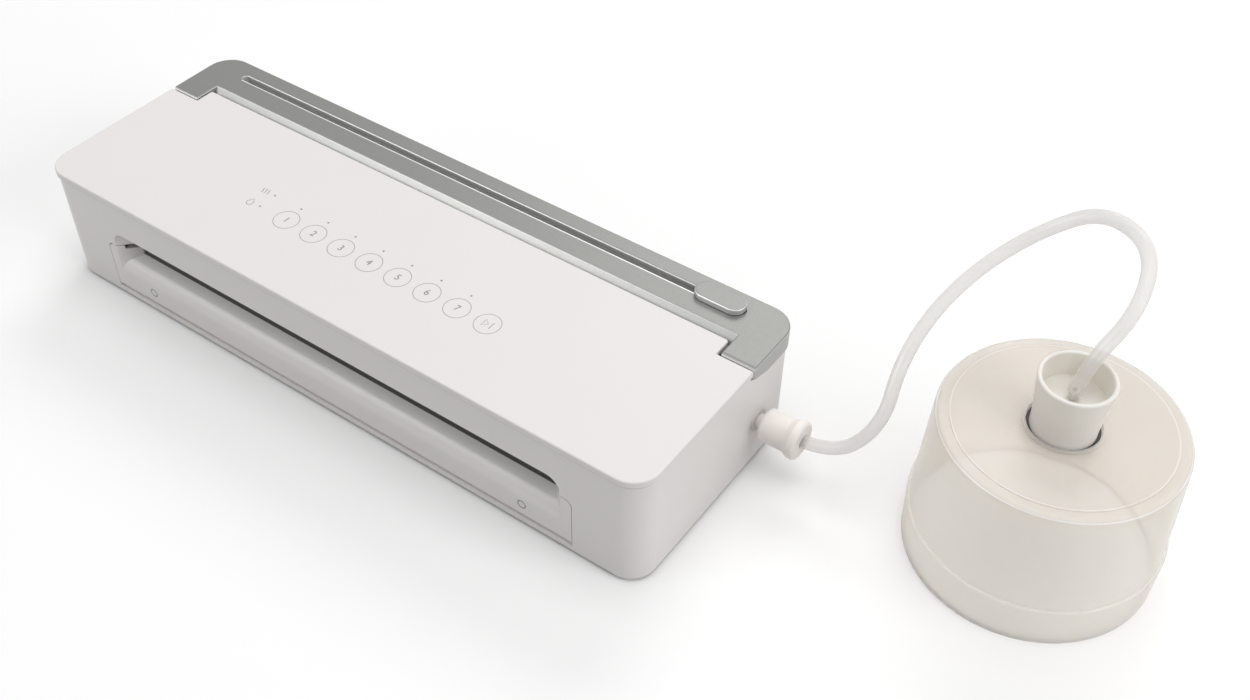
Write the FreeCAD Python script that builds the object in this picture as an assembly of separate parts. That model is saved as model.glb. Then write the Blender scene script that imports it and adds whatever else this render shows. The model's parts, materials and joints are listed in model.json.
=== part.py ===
import FreeCAD, Part
import math
import os

from FreeCAD import Vector

# Bench-top vacuum sealer with a cutter lid, a front flap, an air hose and a jar bell.
# Millimetres. +X runs to the sealer's right, +Y to its rear and +Z up. The origin lies on the ground
# below the middle of the sealer's footprint. Each sub-part is written to a STEP file of its own.

# Housing
LENGTH = 380.0
DEPTH = 131.0
HEIGHT = 69.0
FOOT_HEIGHT = 2.0
FOOT_RADIUS = 6.0
CORNER_RADIUS = 14.0
WALL = 2.5
OVERHANG = 1.0
SEAM = 0.4
PANEL_THICKNESS = 3.5
PLATE_THICKNESS = 2.5
EDGE_ROUND = 0.8
BOSS_RADIUS = 4.0
BOSS_BITE = 0.6
BOSS_HEIGHT = 14.0
BOSS_Y = 40.0
SCREW_RADIUS = 1.5
SCREW_HEAD_RADIUS = 2.8
SCREW_HEAD_HEIGHT = 1.6
SCREW_END = 2.0

# Clearances shared by the moving and the fitted pieces
RUNNING_FIT = 0.05
SLIDE_GAP = 0.35
PIN_RADIUS = 1.5
CUT_REACH = 1.0

# Cutter lid along the rear edge
LID_ARM_REACH = 41.5
LID_ARM_WIDTH = 18.5
LID_ARM_ROUND = 2.0
LID_BAR_DEPTH = 26.2
LID_BEVEL = 4.3
LID_FILM_GAP = 1.3
LID_FRONT_GAP = 1.2
LID_SIDE_GAP = 1.5
LID_PLATE = 3.0
LID_WALL = 2.0
LID_SKIRT = 10.2
LID_TAPER_RISE = 3.5
LID_TAPER_LENGTH = 12.6
LID_HINGE_RADIUS = 3.0
LID_EYE_SHY = 0.2
LID_EYE_WIDTH = 7.2
LID_EYE_INSET = 52.0
LID_PIN_LENGTH = 24.0
LID_FRONT_WALL = 3.0
LID_LEDGE = 3.0
FILM_STRIP_HEIGHT = 3.5
BED_THICKNESS = 2.5
BED_RISER = 2.0
GROOVE_WIDTH = 3.0
GROOVE_DEPTH = 3.4
TROUGH_MARGIN = 4.0

# Cutter that slides in the lid's slot
SLOT_INSET = 11.5
SLOT_WIDTH = 4.2
SLOT_END = 24.0
KNOB_LENGTH = 27.4
KNOB_WIDTH = 12.0
KNOB_HEIGHT = 3.0
KNOB_ROUND = 0.7
KNOB_PARK = 13.7
STEM_LENGTH = 16.0
CARRIAGE_LENGTH = 20.0
CARRIAGE_WIDTH = 7.5
CARRIAGE_HEIGHT = 3.3
RAIL_WALL = 1.2
RAIL_FLOOR = 1.0
RAIL_REAR_GAP = 0.2
EYE_LEG_GAP = 0.4
BLADE_LENGTH = 6.0
BLADE_THICKNESS = 0.5
BLADE_REACH = 1.2

# Front flap and the bag mouth above it
FLAP_HALF = 152.0
FLAP_BOTTOM = 3.2
FLAP_HEIGHT = 30.1
FLAP_SKIN = 3.0
FLAP_CORNER = 4.0
FLAP_DEPTH = 12.5
FLAP_CORE_INSET = 8.5
FLAP_CORE_DROP = 2.3
FLAP_PLATE = 2.5
FLAP_PIN_LENGTH = 11.5
HINGE_BOSS_END = 2.0
HINGE_BOSS_RIM = 4.0
MOUTH_INSET = 6.0
MOUTH_FLARE = 9.0
MOUTH_CORNER = 8.0
LIP_HEIGHT = 43.5
SCOOP_START = 16.0
SCOOP_DEPTH = 9.0
SCOOP_ANGLE = 60.0
CREST_DROP = 4.5
STRIKE_LENGTH = 12.5
STRIKE_WIDTH = 3.0
STRIKE_HEIGHT = 2.4
STRIKE_CLIMB = 2.6

# Vacuum chamber, jaw and heater behind the flap
SEAL_SPACE = 2.0
JAW_WEB = 4.0
JAW_DEPTH = 12.0
JAW_FLANGE = 3.0
JAW_MARGIN = 2.4
CHAMBER_MARGIN = 0.5
CHAMBER_DEPTH = 27.0
CHAMBER_BOTTOM = 7.0
CHAMBER_WALL = 2.0
CHAMBER_BORE = 0.9
GASKET_THICKNESS = 1.0
GASKET_WIDTH = 2.5
HEATER_HEIGHT = 4.0
HEATER_DROP = 2.4
HEATER_RISE = 1.2
HEATER_DEPTH = 2.2
TAPE_THICKNESS = 0.3
TRAY_CLEARANCE = 3.0
TRAY_WALL = 1.2
TRAY_HEIGHT = 7.0
CATCH_WIDTH = 4.2
CATCH_JAW = 2.0
SWITCH_LENGTH = 10.0
SWITCH_WIDTH = 5.5
SWITCH_HEIGHT = 6.0
PLUNGER_RADIUS = 1.1

# Touch buttons and lamps on the top panel
BUTTON_COUNT = 8
BUTTON_PITCH = 18.5
BUTTON_FIRST_X = -56.0
BUTTON_FRONT = 42.2
LAMP_RISE = 10.6
LAMP_RADIUS = 1.4
LAMP_HEIGHT = 3.5
SPRING_RADIUS = 3.0
SPRING_WALL = 0.6
BOARD_THICKNESS = 1.6
BOARD_DROP = 6.5
BOARD_MARGIN = 10.0
POST_RADIUS = 2.5

# Pump
PUMP_FROM_LEFT = 70.0
PUMP_FROM_REAR = 53.0
GROMMET_RADIUS = 4.0
GROMMET_HEIGHT = 3.0
FRAME_THICKNESS = 2.0
FRAME_HALF_WIDTH = 17.0
MOTOR_RADIUS = 13.0
MOTOR_LENGTH = 38.0
MOTOR_LIFT = 1.5
MOTOR_OVERHANG = 2.0
SADDLE_LENGTH = 26.0
SADDLE_FRONT = 6.0
SADDLE_INSET = 2.0
CRANK_THROW = 3.5
CRANK_STANDOFF = 5.0
CRANK_DISC = 6.5
CRANK_DISC_WIDTH = 4.0
CRANK_PIN_LENGTH = 7.0
TOWER_WIDTH = 21.0
TOWER_LEG = 4.5
TOWER_TOP = 3.0
FRAME_MARGIN = 2.0
ROD_RING = 2.5
ROD_WIDTH = 5.0
PISTON_RADIUS = 7.9
PISTON_HEIGHT = 4.0
PISTON_GAP = 0.1
CYLINDER_WALL = 3.0
CYLINDER_HEIGHT = 13.0
HEAD_HEIGHT = 5.0

# Air tubes and fittings
NIPPLE_RADIUS = 2.5
NIPPLE_BORE = 1.5
NIPPLE_LENGTH = 5.0
TUBE_WALL = 1.2
TUBE_OVERLAP = 4.0
TUBE_BEND = 8.5
MANIFOLD_FROM_RIGHT = 65.5
MANIFOLD_WIDTH = 16.0
MANIFOLD_MARGIN = 6.5
GALLERY_BORE = 2.2
RISER_BORE = 1.8
MANIFOLD_HEIGHT = 22.0
MANIFOLD_LIFT = 7.5
VALVE_RADIUS = 8.0
VALVE_LENGTH = 18.0
CHAMBER_OUTLET_HEIGHT = 16.0
PORT_FROM_REAR = 32.4
PORT_HEIGHT = 26.2
PORT_RADIUS = 6.0
PORT_FLANGE_RADIUS = 9.0
PORT_FLANGE = 3.0
GLAND_FROM_RIGHT = 116.5
GLAND_HEIGHT = 16.0
GLAND_RADIUS = 6.0
GLAND_BORE = 3.3
GLAND_FLANGE = 2.0

# Electric pieces on the base plate
TRANSFORMER_X = -6.0
TRANSFORMER_FROM_REAR = 34.0
CORE_LENGTH = 48.0
CORE_DEPTH = 24.0
CORE_HEIGHT = 37.5
CORE_LEG = 8.0
WINDING_GAP = 0.2
WINDING_OVERHANG = 9.0
POWER_BOARD_GAP = 5.0
POWER_BOARD_LENGTH = 68.0
POWER_BOARD_WIDTH = 56.0
POWER_BOARD_CLEAR = 10.0
POWER_BOARD_LIFT = 7.5
BOARD_POST_INSET = 5.0
BOARD_EDGE = 4.0
RELAY_LENGTH = 17.0
RELAY_WIDTH = 22.0
RELAY_HEIGHT = 16.0
SINK_LENGTH = 24.0
SINK_THICKNESS = 4.0
SINK_HEIGHT = 22.0
CAN_RADIUS = 5.5
CAN_HEIGHT = 20.0
CAN_PITCH = 16.0
SOCKET_LENGTH = 14.0
SOCKET_WIDTH = 7.0
SOCKET_HEIGHT = 8.0

# Hose, its plug, the adapter cup and the bell
HOSE_RADIUS = 3.25
PLUG_SPIGOT_RADIUS = 3.0
PLUG_SPIGOT_LENGTH = 5.5
PLUG_NECK_RADIUS = 3.8
PLUG_NECK = 3.5
PLUG_RADIUS = 8.5
PLUG_LENGTH = 20.5
PLUG_NOSE = 2.0
PLUG_COLLAR_RADIUS = 10.0
PLUG_COLLAR = 4.0
PLUG_FLARE = 3.0
PLUG_SOCKET = 8.0
BELL_X = 318.4
BELL_Y = 65.1
BELL_HEIGHT = 79.0
BELL_RIM_RADIUS = 58.5
BELL_RIM_HEIGHT = 23.0
BELL_RIM_WALL = 3.0
BELL_RIM_DRAFT = 0.7
BELL_LEDGE = 1.3
BELL_TAPER = 3.9
BELL_SHOULDER = 3.0
BELL_WALL = 2.3
BELL_STEP = 0.6
BELL_STEP_INSET = 6.1
BELL_COLLAR_WIDTH = 1.6
BELL_COLLAR_HEIGHT = 0.8
BELL_GASKET_WIDTH = 1.2
BELL_GASKET_HEIGHT = 2.4
BELL_GASKET_PROUD = 0.4
CUP_BASE_RADIUS = 14.5
CUP_TAPER = 2.4
CUP_HEIGHT = 27.8
CUP_WALL = 2.0
CUP_DEPTH = 12.0
CUP_DRAFT = 0.7
CUP_STEM = 7.0
CUP_BARREL = 3.0
CUP_NIPPLE_RADIUS = 2.0
CUP_NIPPLE_HEIGHT = 5.2
CUP_BORE = 1.2
SEAL_THICKNESS = 1.5
SEAL_FLANGE_WIDTH = 2.5
SEAL_FLANGE = 2.4
SEAL_SUNK = 1.5

# Free points of the hose's route between the plug and the cup
HOSE_ROUTE = [
    (247.0, 43.5, 50.5),
    (243.0, 61.0, 75.0),
    (246.0, 83.0, 93.0),
    (255.5, 105.0, 108.0),
    (272.0, 123.0, 124.0),
    (294.5, 130.0, 142.0),
    (322.0, 114.0, 145.5),
    (329.0, 88.0, 133.0),
    (319.5, 70.0, 111.5),
]
HOSE_FIRST_RUN = 24.0
HOSE_END_LIFT = 3.2
HOSE_BEND_SHARE = 0.45

# Places that follow from the sizes
BASE = FOOT_HEIGHT
TOP = HEIGHT
PLATE_TOP = BASE + PLATE_THICKNESS
PANEL_UNDER = TOP - PANEL_THICKNESS
OUTER_X = LENGTH / 2
OUTER_Y = DEPTH / 2
BODY_X = OUTER_X - OVERHANG
BODY_Y = OUTER_Y - OVERHANG
INNER_X = BODY_X - WALL
INNER_Y = BODY_Y - WALL
BODY_CORNER = CORNER_RADIUS - OVERHANG
INNER_CORNER = BODY_CORNER - WALL
BOSS_X = INNER_X - BOSS_RADIUS + BOSS_BITE
BOSS_TOP = PLATE_TOP + BOSS_HEIGHT

LID_FRONT = OUTER_Y - LID_ARM_REACH
BAR_TOP = OUTER_Y - LID_BAR_DEPTH
BAR_FOOT = BAR_TOP - LID_BEVEL
PANEL_REAR = BAR_FOOT - LID_FILM_GAP
PANEL_STEP = LID_FRONT - LID_FRONT_GAP
ARM_INNER = OUTER_X - LID_ARM_WIDTH
TONGUE_HALF = ARM_INNER - LID_SIDE_GAP
LID_UNDER = TOP - LID_PLATE
SKIRT_Z = TOP - LID_SKIRT
BED_TOP = SKIRT_Z - SEAM
BED_UNDER = BED_TOP - BED_THICKNESS
LID_AXIS_Y = OUTER_Y - LID_HINGE_RADIUS
LID_AXIS_Z = SKIRT_Z + LID_HINGE_RADIUS
LID_EYE_X = OUTER_X - LID_EYE_INSET
LID_EYE_RADIUS = LID_HINGE_RADIUS - LID_EYE_SHY

SLOT_Y = OUTER_Y - SLOT_INSET
SLOT_HALF = OUTER_X - SLOT_END
KNOB_X = SLOT_HALF - KNOB_PARK
CARRIAGE_TOP = LID_UNDER - SLIDE_GAP
CARRIAGE_UNDER = CARRIAGE_TOP - CARRIAGE_HEIGHT
RAIL_TOP_OF_FLOOR = CARRIAGE_UNDER - SLIDE_GAP
RAIL_BOTTOM = RAIL_TOP_OF_FLOOR - RAIL_FLOOR
RAIL_INNER = CARRIAGE_WIDTH / 2 + SLIDE_GAP
RAIL_OUTER = RAIL_INNER + RAIL_WALL
LID_REAR_BAR = SLOT_Y + RAIL_OUTER + RAIL_REAR_GAP

FLAP_FRONT = -BODY_Y
FLAP_Z0 = BASE + FLAP_BOTTOM
FLAP_Z1 = FLAP_Z0 + FLAP_HEIGHT
FLAP_AXIS_Y = FLAP_FRONT + FLAP_SKIN
FLAP_AXIS_Z = FLAP_Z0 + FLAP_SKIN
FLAP_BACK = FLAP_FRONT + FLAP_DEPTH
FLAP_CORE_BACK = FLAP_BACK - FLAP_PLATE
FLAP_CORE_HALF = FLAP_HALF - FLAP_CORE_INSET
FLAP_CORE_TOP = FLAP_Z1 - FLAP_CORE_DROP
FLAP_PIN_START = FLAP_HALF - FLAP_PIN_LENGTH / 2
FLAP_PIN_STOP = FLAP_HALF + FLAP_PIN_LENGTH / 2
MOUTH_HALF = FLAP_HALF - MOUTH_INSET
MOUTH_INNER = MOUTH_HALF - MOUTH_FLARE
LIP_Z = BASE + LIP_HEIGHT
SCOOP_Z0 = BASE + SCOOP_START
SCOOP_BACK = FLAP_FRONT + SCOOP_DEPTH
CREST_Z = FLAP_CORE_TOP - CREST_DROP
JAW_FRONT = FLAP_BACK + SEAL_SPACE
SEAL_BACK = JAW_FRONT - SLIDE_GAP

CHAMBER_FRONT = JAW_FRONT + GASKET_THICKNESS
CHAMBER_REAR = CHAMBER_FRONT + CHAMBER_DEPTH
CHAMBER_Z0 = BASE + CHAMBER_BOTTOM
CHAMBER_HALF = FLAP_CORE_HALF + CHAMBER_MARGIN
HEATER_Z1 = FLAP_CORE_TOP - HEATER_DROP
HEATER_Z0 = HEATER_Z1 - HEATER_HEIGHT
CHAMBER_Z1 = HEATER_Z0 - HEATER_RISE
JAW_HALF = CHAMBER_HALF + JAW_MARGIN
STRIKE_X = JAW_HALF + CATCH_WIDTH / 2
STRIKE_Z = HEATER_Z1 - STRIKE_HEIGHT

BUTTON_Y = -OUTER_Y + BUTTON_FRONT
LAMP_Y = BUTTON_Y + LAMP_RISE
BUTTONS = [BUTTON_FIRST_X + BUTTON_PITCH * index for index in range(BUTTON_COUNT)]
WARNING_LAMP_X = BUTTON_FIRST_X - BUTTON_PITCH
LAMPS = [(x, LAMP_Y) for x in BUTTONS[:-1]] + [(WARNING_LAMP_X, LAMP_Y), (WARNING_LAMP_X, BUTTON_Y)]
CONTROL_TOP = PANEL_UNDER - BOARD_DROP

PUMP_X = -INNER_X + PUMP_FROM_LEFT
PUMP_Y = INNER_Y - PUMP_FROM_REAR
FRAME_Z0 = PLATE_TOP + GROMMET_HEIGHT
FRAME_Z1 = FRAME_Z0 + FRAME_THICKNESS
MOTOR_Z = FRAME_Z1 + MOTOR_RADIUS + MOTOR_LIFT
MOTOR_REAR = PUMP_X - MOTOR_LENGTH
CRANK_FACE = PUMP_X + CRANK_STANDOFF + CRANK_DISC_WIDTH
ROD_X = CRANK_FACE + SLIDE_GAP + CRANK_PIN_LENGTH / 2
ROD_BORE = CRANK_THROW + PIN_RADIUS + SLIDE_GAP
ROD_OUTER = ROD_BORE + ROD_RING
TOWER_Z1 = MOTOR_Z + ROD_OUTER + SLIDE_GAP + TOWER_TOP
FRAME_X0 = MOTOR_REAR + MOTOR_OVERHANG
FRAME_X1 = ROD_X + TOWER_WIDTH / 2 + FRAME_MARGIN
CYLINDER_BORE = PISTON_RADIUS + PISTON_GAP
CYLINDER_OUTER = CYLINDER_BORE + CYLINDER_WALL
CYLINDER_Z1 = TOWER_Z1 + CYLINDER_HEIGHT
HEAD_Z = CYLINDER_Z1 + HEAD_HEIGHT / 2

TUBE_OUTER = NIPPLE_RADIUS + TUBE_WALL
MANIFOLD_X = INNER_X - MANIFOLD_FROM_RIGHT
PORT_Y = OUTER_Y - PORT_FROM_REAR
PORT_Z = BASE + PORT_HEIGHT
MANIFOLD_REAR = PORT_Y + MANIFOLD_MARGIN
MANIFOLD_FRONT = PUMP_Y - MANIFOLD_MARGIN
MANIFOLD_Z0 = PLATE_TOP + MANIFOLD_LIFT
MANIFOLD_Z1 = MANIFOLD_Z0 + MANIFOLD_HEIGHT
OUTLET_Z = BASE + CHAMBER_OUTLET_HEIGHT
PORT_INNER = INNER_X - PORT_FLANGE
GLAND_X = INNER_X - GLAND_FROM_RIGHT
GLAND_Z = BASE + GLAND_HEIGHT

PLUG_START = OUTER_X
PLUG_BODY = PLUG_START + PLUG_NECK
PLUG_END = PLUG_BODY + PLUG_LENGTH
SOCKET_X = PLUG_END - PLUG_SOCKET
BELL_PLATE_UNDER = BELL_HEIGHT - BELL_WALL
BELL_TOP_RADIUS = BELL_RIM_RADIUS - BELL_TAPER
BELL_STEP_RADIUS = BELL_TOP_RADIUS - BELL_STEP_INSET
CUP_RADIUS = CUP_BASE_RADIUS + CUP_TAPER
CUP_TOP = BELL_HEIGHT + CUP_HEIGHT
CUP_FLOOR = CUP_TOP - CUP_DEPTH
CUP_BOTTOM = BELL_PLATE_UNDER - CUP_STEM
SEAL_RADIUS = CUP_BASE_RADIUS + SEAL_THICKNESS
BELL_HOLE = SEAL_RADIUS + SLIDE_GAP

SIDES = (-1, 1)
TINY = 1e-6
X_AXIS = Vector(1, 0, 0)
Y_AXIS = Vector(0, 1, 0)
Z_AXIS = Vector(0, 0, 1)


# Shape helpers
def box(x0, x1, y0, y1, z0, z1):
    return Part.makeBox(x1 - x0, y1 - y0, z1 - z0, Vector(x0, y0, z0))


def wide_box(half, y0, y1, z0, z1):
    return box(-half, half, y0, y1, z0, z1)


def side_box(side, x0, x1, y0, y1, z0, z1):
    low, high = sorted((side * x0, side * x1))
    return box(low, high, y0, y1, z0, z1)


def x_rod(radius, x0, x1, y, z):
    return Part.makeCylinder(radius, x1 - x0, Vector(x0, y, z), X_AXIS)


def side_rod(side, radius, x0, x1, y, z):
    low, high = sorted((side * x0, side * x1))
    return x_rod(radius, low, high, y, z)


def y_rod(radius, x, y0, y1, z):
    return Part.makeCylinder(radius, y1 - y0, Vector(x, y0, z), Y_AXIS)


def z_rod(radius, x, y, z0, z1):
    return Part.makeCylinder(radius, z1 - z0, Vector(x, y, z0), Z_AXIS)


def upright_edges(shape, chosen):
    found = []
    for edge in shape.Edges:
        first, last = edge.Vertexes[0].Point, edge.Vertexes[-1].Point
        if abs(first.x - last.x) < TINY and abs(first.y - last.y) < TINY and chosen(first):
            found.append(edge)
    return found


def level_edges(shape, height, chosen):
    found = []
    for edge in shape.Edges:
        bounds = edge.BoundBox
        level = abs(bounds.ZMin - height) < TINY and abs(bounds.ZMax - height) < TINY
        if level and chosen(edge.CenterOfMass):
            found.append(edge)
    return found


def rounded_box(half_x, half_y, z0, z1, radius):
    block = wide_box(half_x, -half_y, half_y, z0, z1)
    return block.makeFillet(radius, upright_edges(block, lambda point: True))


def stadium(length, width, x, y, z0, z1):
    radius = width / 2
    left, right = x - length / 2 + radius, x + length / 2 - radius
    front, rear = y - radius, y + radius
    right_end = Part.Arc(Vector(right, front, z0), Vector(right + radius, y, z0), Vector(right, rear, z0))
    left_end = Part.Arc(Vector(left, rear, z0), Vector(left - radius, y, z0), Vector(left, front, z0))
    edges = [
        Part.makeLine(Vector(left, front, z0), Vector(right, front, z0)),
        right_end.toShape(),
        Part.makeLine(Vector(right, rear, z0), Vector(left, rear, z0)),
        left_end.toShape(),
    ]
    return Part.Face(Part.Wire(edges)).extrude(Vector(0, 0, z1 - z0))


def prism_yz(points, x0, x1):
    wire = Part.makePolygon([Vector(x0, y, z) for y, z in points + points[:1]])
    return Part.Face(wire).extrude(Vector(x1 - x0, 0, 0))


def prism_xy(points, z0, z1):
    wire = Part.makePolygon([Vector(x, y, z0) for x, y in points + points[:1]])
    return Part.Face(wire).extrude(Vector(0, 0, z1 - z0))


def turned(points, x, y):
    wire = Part.makePolygon([Vector(x + radius, y, z) for radius, z in points + points[:1]])
    return Part.Face(wire).revolve(Vector(x, y, 0), Z_AXIS, 360)


def ring(outer, inner, x, y, z0, z1):
    return z_rod(outer, x, y, z0, z1).cut(z_rod(inner, x, y, z0, z1))


def joined(shapes):
    whole = shapes[0].multiFuse(shapes[1:])
    return whole.removeSplitter()


def save(node, shape):
    solids = shape.Solids
    group = solids[0] if len(solids) == 1 else Part.makeCompound(solids)
    group.exportStep("parts/%s.step" % node)


# Bag mouth: the scooped hollow that is shared by the flap's top and the shell's front
def scoop_line():
    angle = math.radians(SCOOP_ANGLE)
    sine, cosine = math.sin(angle), math.cos(angle)
    rise = CREST_Z - SCOOP_Z0
    slope = (SCOOP_DEPTH * sine - rise * (1 - cosine)) / (sine * sine - cosine * (1 - cosine))
    radius = (rise - slope * cosine) / sine
    middle = (FLAP_FRONT + radius * (1 - math.cos(angle / 2)), SCOOP_Z0 + radius * math.sin(angle / 2))
    end = (FLAP_FRONT + radius * (1 - cosine), SCOOP_Z0 + radius * sine)
    return middle, end


def mouth_hollow():
    reach = SCOOP_DEPTH / 2
    middle, end = scoop_line()
    start = Vector(0, FLAP_FRONT, SCOOP_Z0)
    arc_end = Vector(0, *end)
    outline = [
        arc_end,
        Vector(0, SCOOP_BACK, CREST_Z),
        Vector(0, FLAP_CORE_BACK, CREST_Z),
        Vector(0, FLAP_CORE_BACK, FLAP_CORE_TOP),
        Vector(0, JAW_FRONT, FLAP_CORE_TOP),
        Vector(0, JAW_FRONT, LIP_Z),
        Vector(0, FLAP_FRONT - reach, LIP_Z),
        Vector(0, FLAP_FRONT - reach, SCOOP_Z0),
        start,
    ]
    edges = [Part.Arc(start, Vector(0, *middle), arc_end).toShape()]
    edges += [Part.makeLine(a, b) for a, b in zip(outline, outline[1:])]
    side_face = Part.Face(Part.Wire(edges))
    side_face.translate(Vector(-MOUTH_HALF - reach, 0, 0))
    hollow = side_face.extrude(Vector(2 * (MOUTH_HALF + reach), 0, 0))
    outer = MOUTH_HALF + MOUTH_FLARE * reach / SCOOP_DEPTH
    plan = [(-outer, FLAP_FRONT - reach), (outer, FLAP_FRONT - reach), (MOUTH_INNER, SCOOP_BACK),
            (MOUTH_INNER, JAW_FRONT), (-MOUTH_INNER, JAW_FRONT), (-MOUTH_INNER, SCOOP_BACK)]
    front = wide_box(MOUTH_HALF, FLAP_FRONT - reach, JAW_FRONT, BASE, LIP_Z)
    upper = [edge for edge in front.Edges
             if abs(edge.BoundBox.ZMin - LIP_Z) < TINY and edge.BoundBox.XLength < TINY]
    front = front.makeFillet(MOUTH_CORNER, upper)
    return hollow.common(prism_xy(plan, BASE, LIP_Z)).common(front)


# Housing pieces
def body_shell(hollow):
    shell = rounded_box(BODY_X, BODY_Y, BASE, PANEL_UNDER, BODY_CORNER)
    shell = shell.cut(rounded_box(INNER_X, INNER_Y, BASE, PANEL_UNDER, INNER_CORNER))
    step = [
        (PANEL_STEP, TOP),
        (PANEL_STEP, BED_TOP + LID_TAPER_RISE),
        (LID_FRONT, BED_TOP + LID_TAPER_RISE),
        (LID_FRONT + LID_TAPER_LENGTH, BED_TOP),
        (OUTER_Y, BED_TOP),
        (OUTER_Y, TOP),
    ]
    shell = shell.cut(prism_yz(step, -OUTER_X, OUTER_X))
    opening_half = FLAP_HALF + SEAM
    pin_end = FLAP_PIN_STOP + SLIDE_GAP
    extras = [wide_box(opening_half, FLAP_FRONT, JAW_FRONT, FLAP_Z1 + SEAM, LIP_Z + WALL)]
    for side in SIDES:
        extras.append(side_box(side, opening_half, pin_end + HINGE_BOSS_END,
                               FLAP_FRONT, FLAP_AXIS_Y + HINGE_BOSS_RIM,
                               FLAP_AXIS_Z - FLAP_SKIN, FLAP_AXIS_Z + FLAP_SKIN))
        extras.append(side_box(side, INNER_X - LID_LEDGE, INNER_X, PANEL_STEP, PANEL_STEP + LID_ARM_REACH / 2,
                               BED_UNDER - LID_LEDGE, BED_UNDER))
    extras += [z_rod(BOSS_RADIUS, x, y, PLATE_TOP, BOSS_TOP) for x, y in screw_places()]
    shell = joined([shell] + extras)
    opening = wide_box(opening_half, FLAP_FRONT - CUT_REACH, FLAP_FRONT + FLAP_SKIN,
                       FLAP_Z0 - SEAM, FLAP_Z1 + SEAM)
    shell = shell.cut(flap_corners(opening, FLAP_Z1 + SEAM)).cut(hollow)
    pin_hole = PIN_RADIUS + RUNNING_FIT
    for side in SIDES:
        shell = shell.cut(side_rod(side, pin_hole, FLAP_HALF, pin_end, FLAP_AXIS_Y, FLAP_AXIS_Z))
    for x, y in screw_places():
        shell = shell.cut(z_rod(SCREW_RADIUS, x, y, BASE, BOSS_TOP - SCREW_END))
    shell = shell.cut(x_rod(PORT_RADIUS, INNER_X - CUT_REACH, BODY_X + CUT_REACH, PORT_Y, PORT_Z))
    return shell.cut(y_rod(GLAND_RADIUS, GLAND_X, INNER_Y - CUT_REACH, BODY_Y + CUT_REACH, GLAND_Z))


def flap_corners(block, top):
    upper = [edge for edge in block.Edges
             if abs(edge.BoundBox.ZMin - top) < TINY and edge.BoundBox.XLength < TINY]
    return block.makeFillet(FLAP_CORNER, upper)


def top_panel():
    front = wide_box(OUTER_X, -OUTER_Y, PANEL_STEP, PANEL_UNDER, TOP)
    front = front.makeFillet(CORNER_RADIUS, upright_edges(front, lambda point: point.y < 0))
    tongue = wide_box(TONGUE_HALF, 0, PANEL_REAR, PANEL_UNDER, TOP)
    tongue = tongue.makeFillet(LID_SIDE_GAP, upright_edges(tongue, lambda point: point.y > PANEL_STEP))
    panel = joined([front, tongue])
    panel = panel.makeFillet(EDGE_ROUND, level_edges(panel, TOP, lambda point: True))
    posts = [z_rod(POST_RADIUS, x, y, CONTROL_TOP, PANEL_UNDER) for x, y in control_posts()]
    return joined([panel] + posts)


def base_plate():
    plate = rounded_box(INNER_X, INNER_Y, BASE, PLATE_TOP, INNER_CORNER)
    post_top = PLATE_TOP + POWER_BOARD_LIFT
    plate = joined([plate] + [z_rod(POST_RADIUS, x, y, PLATE_TOP, post_top) for x, y in power_posts()])
    for x, y in screw_places():
        plate = plate.cut(z_rod(SCREW_RADIUS, x, y, BASE, PLATE_TOP))
        plate = plate.cut(z_rod(SCREW_HEAD_RADIUS, x, y, BASE, BASE + SCREW_HEAD_HEIGHT))
    return plate


def screw_places():
    return [(side * BOSS_X, end * BOSS_Y) for side in SIDES for end in SIDES]


def housing_screws():
    screws = []
    for x, y in screw_places():
        head = z_rod(SCREW_HEAD_RADIUS, x, y, BASE, BASE + SCREW_HEAD_HEIGHT)
        screws.append(joined([head, z_rod(SCREW_RADIUS, x, y, BASE, BOSS_TOP - SCREW_END)]))
    return Part.makeCompound([screw.Solids[0] for screw in screws])


def rubber_feet():
    inset = 3 * FOOT_RADIUS
    places = [(side * (INNER_X - inset), end * (INNER_Y - inset)) for side in SIDES for end in SIDES]
    feet = []
    for x, y in places:
        foot = z_rod(FOOT_RADIUS, x, y, 0, FOOT_HEIGHT)
        feet.append(foot.makeFillet(FOOT_HEIGHT / 4, level_edges(foot, 0, lambda point: True)))
    return Part.makeCompound(feet)


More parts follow.
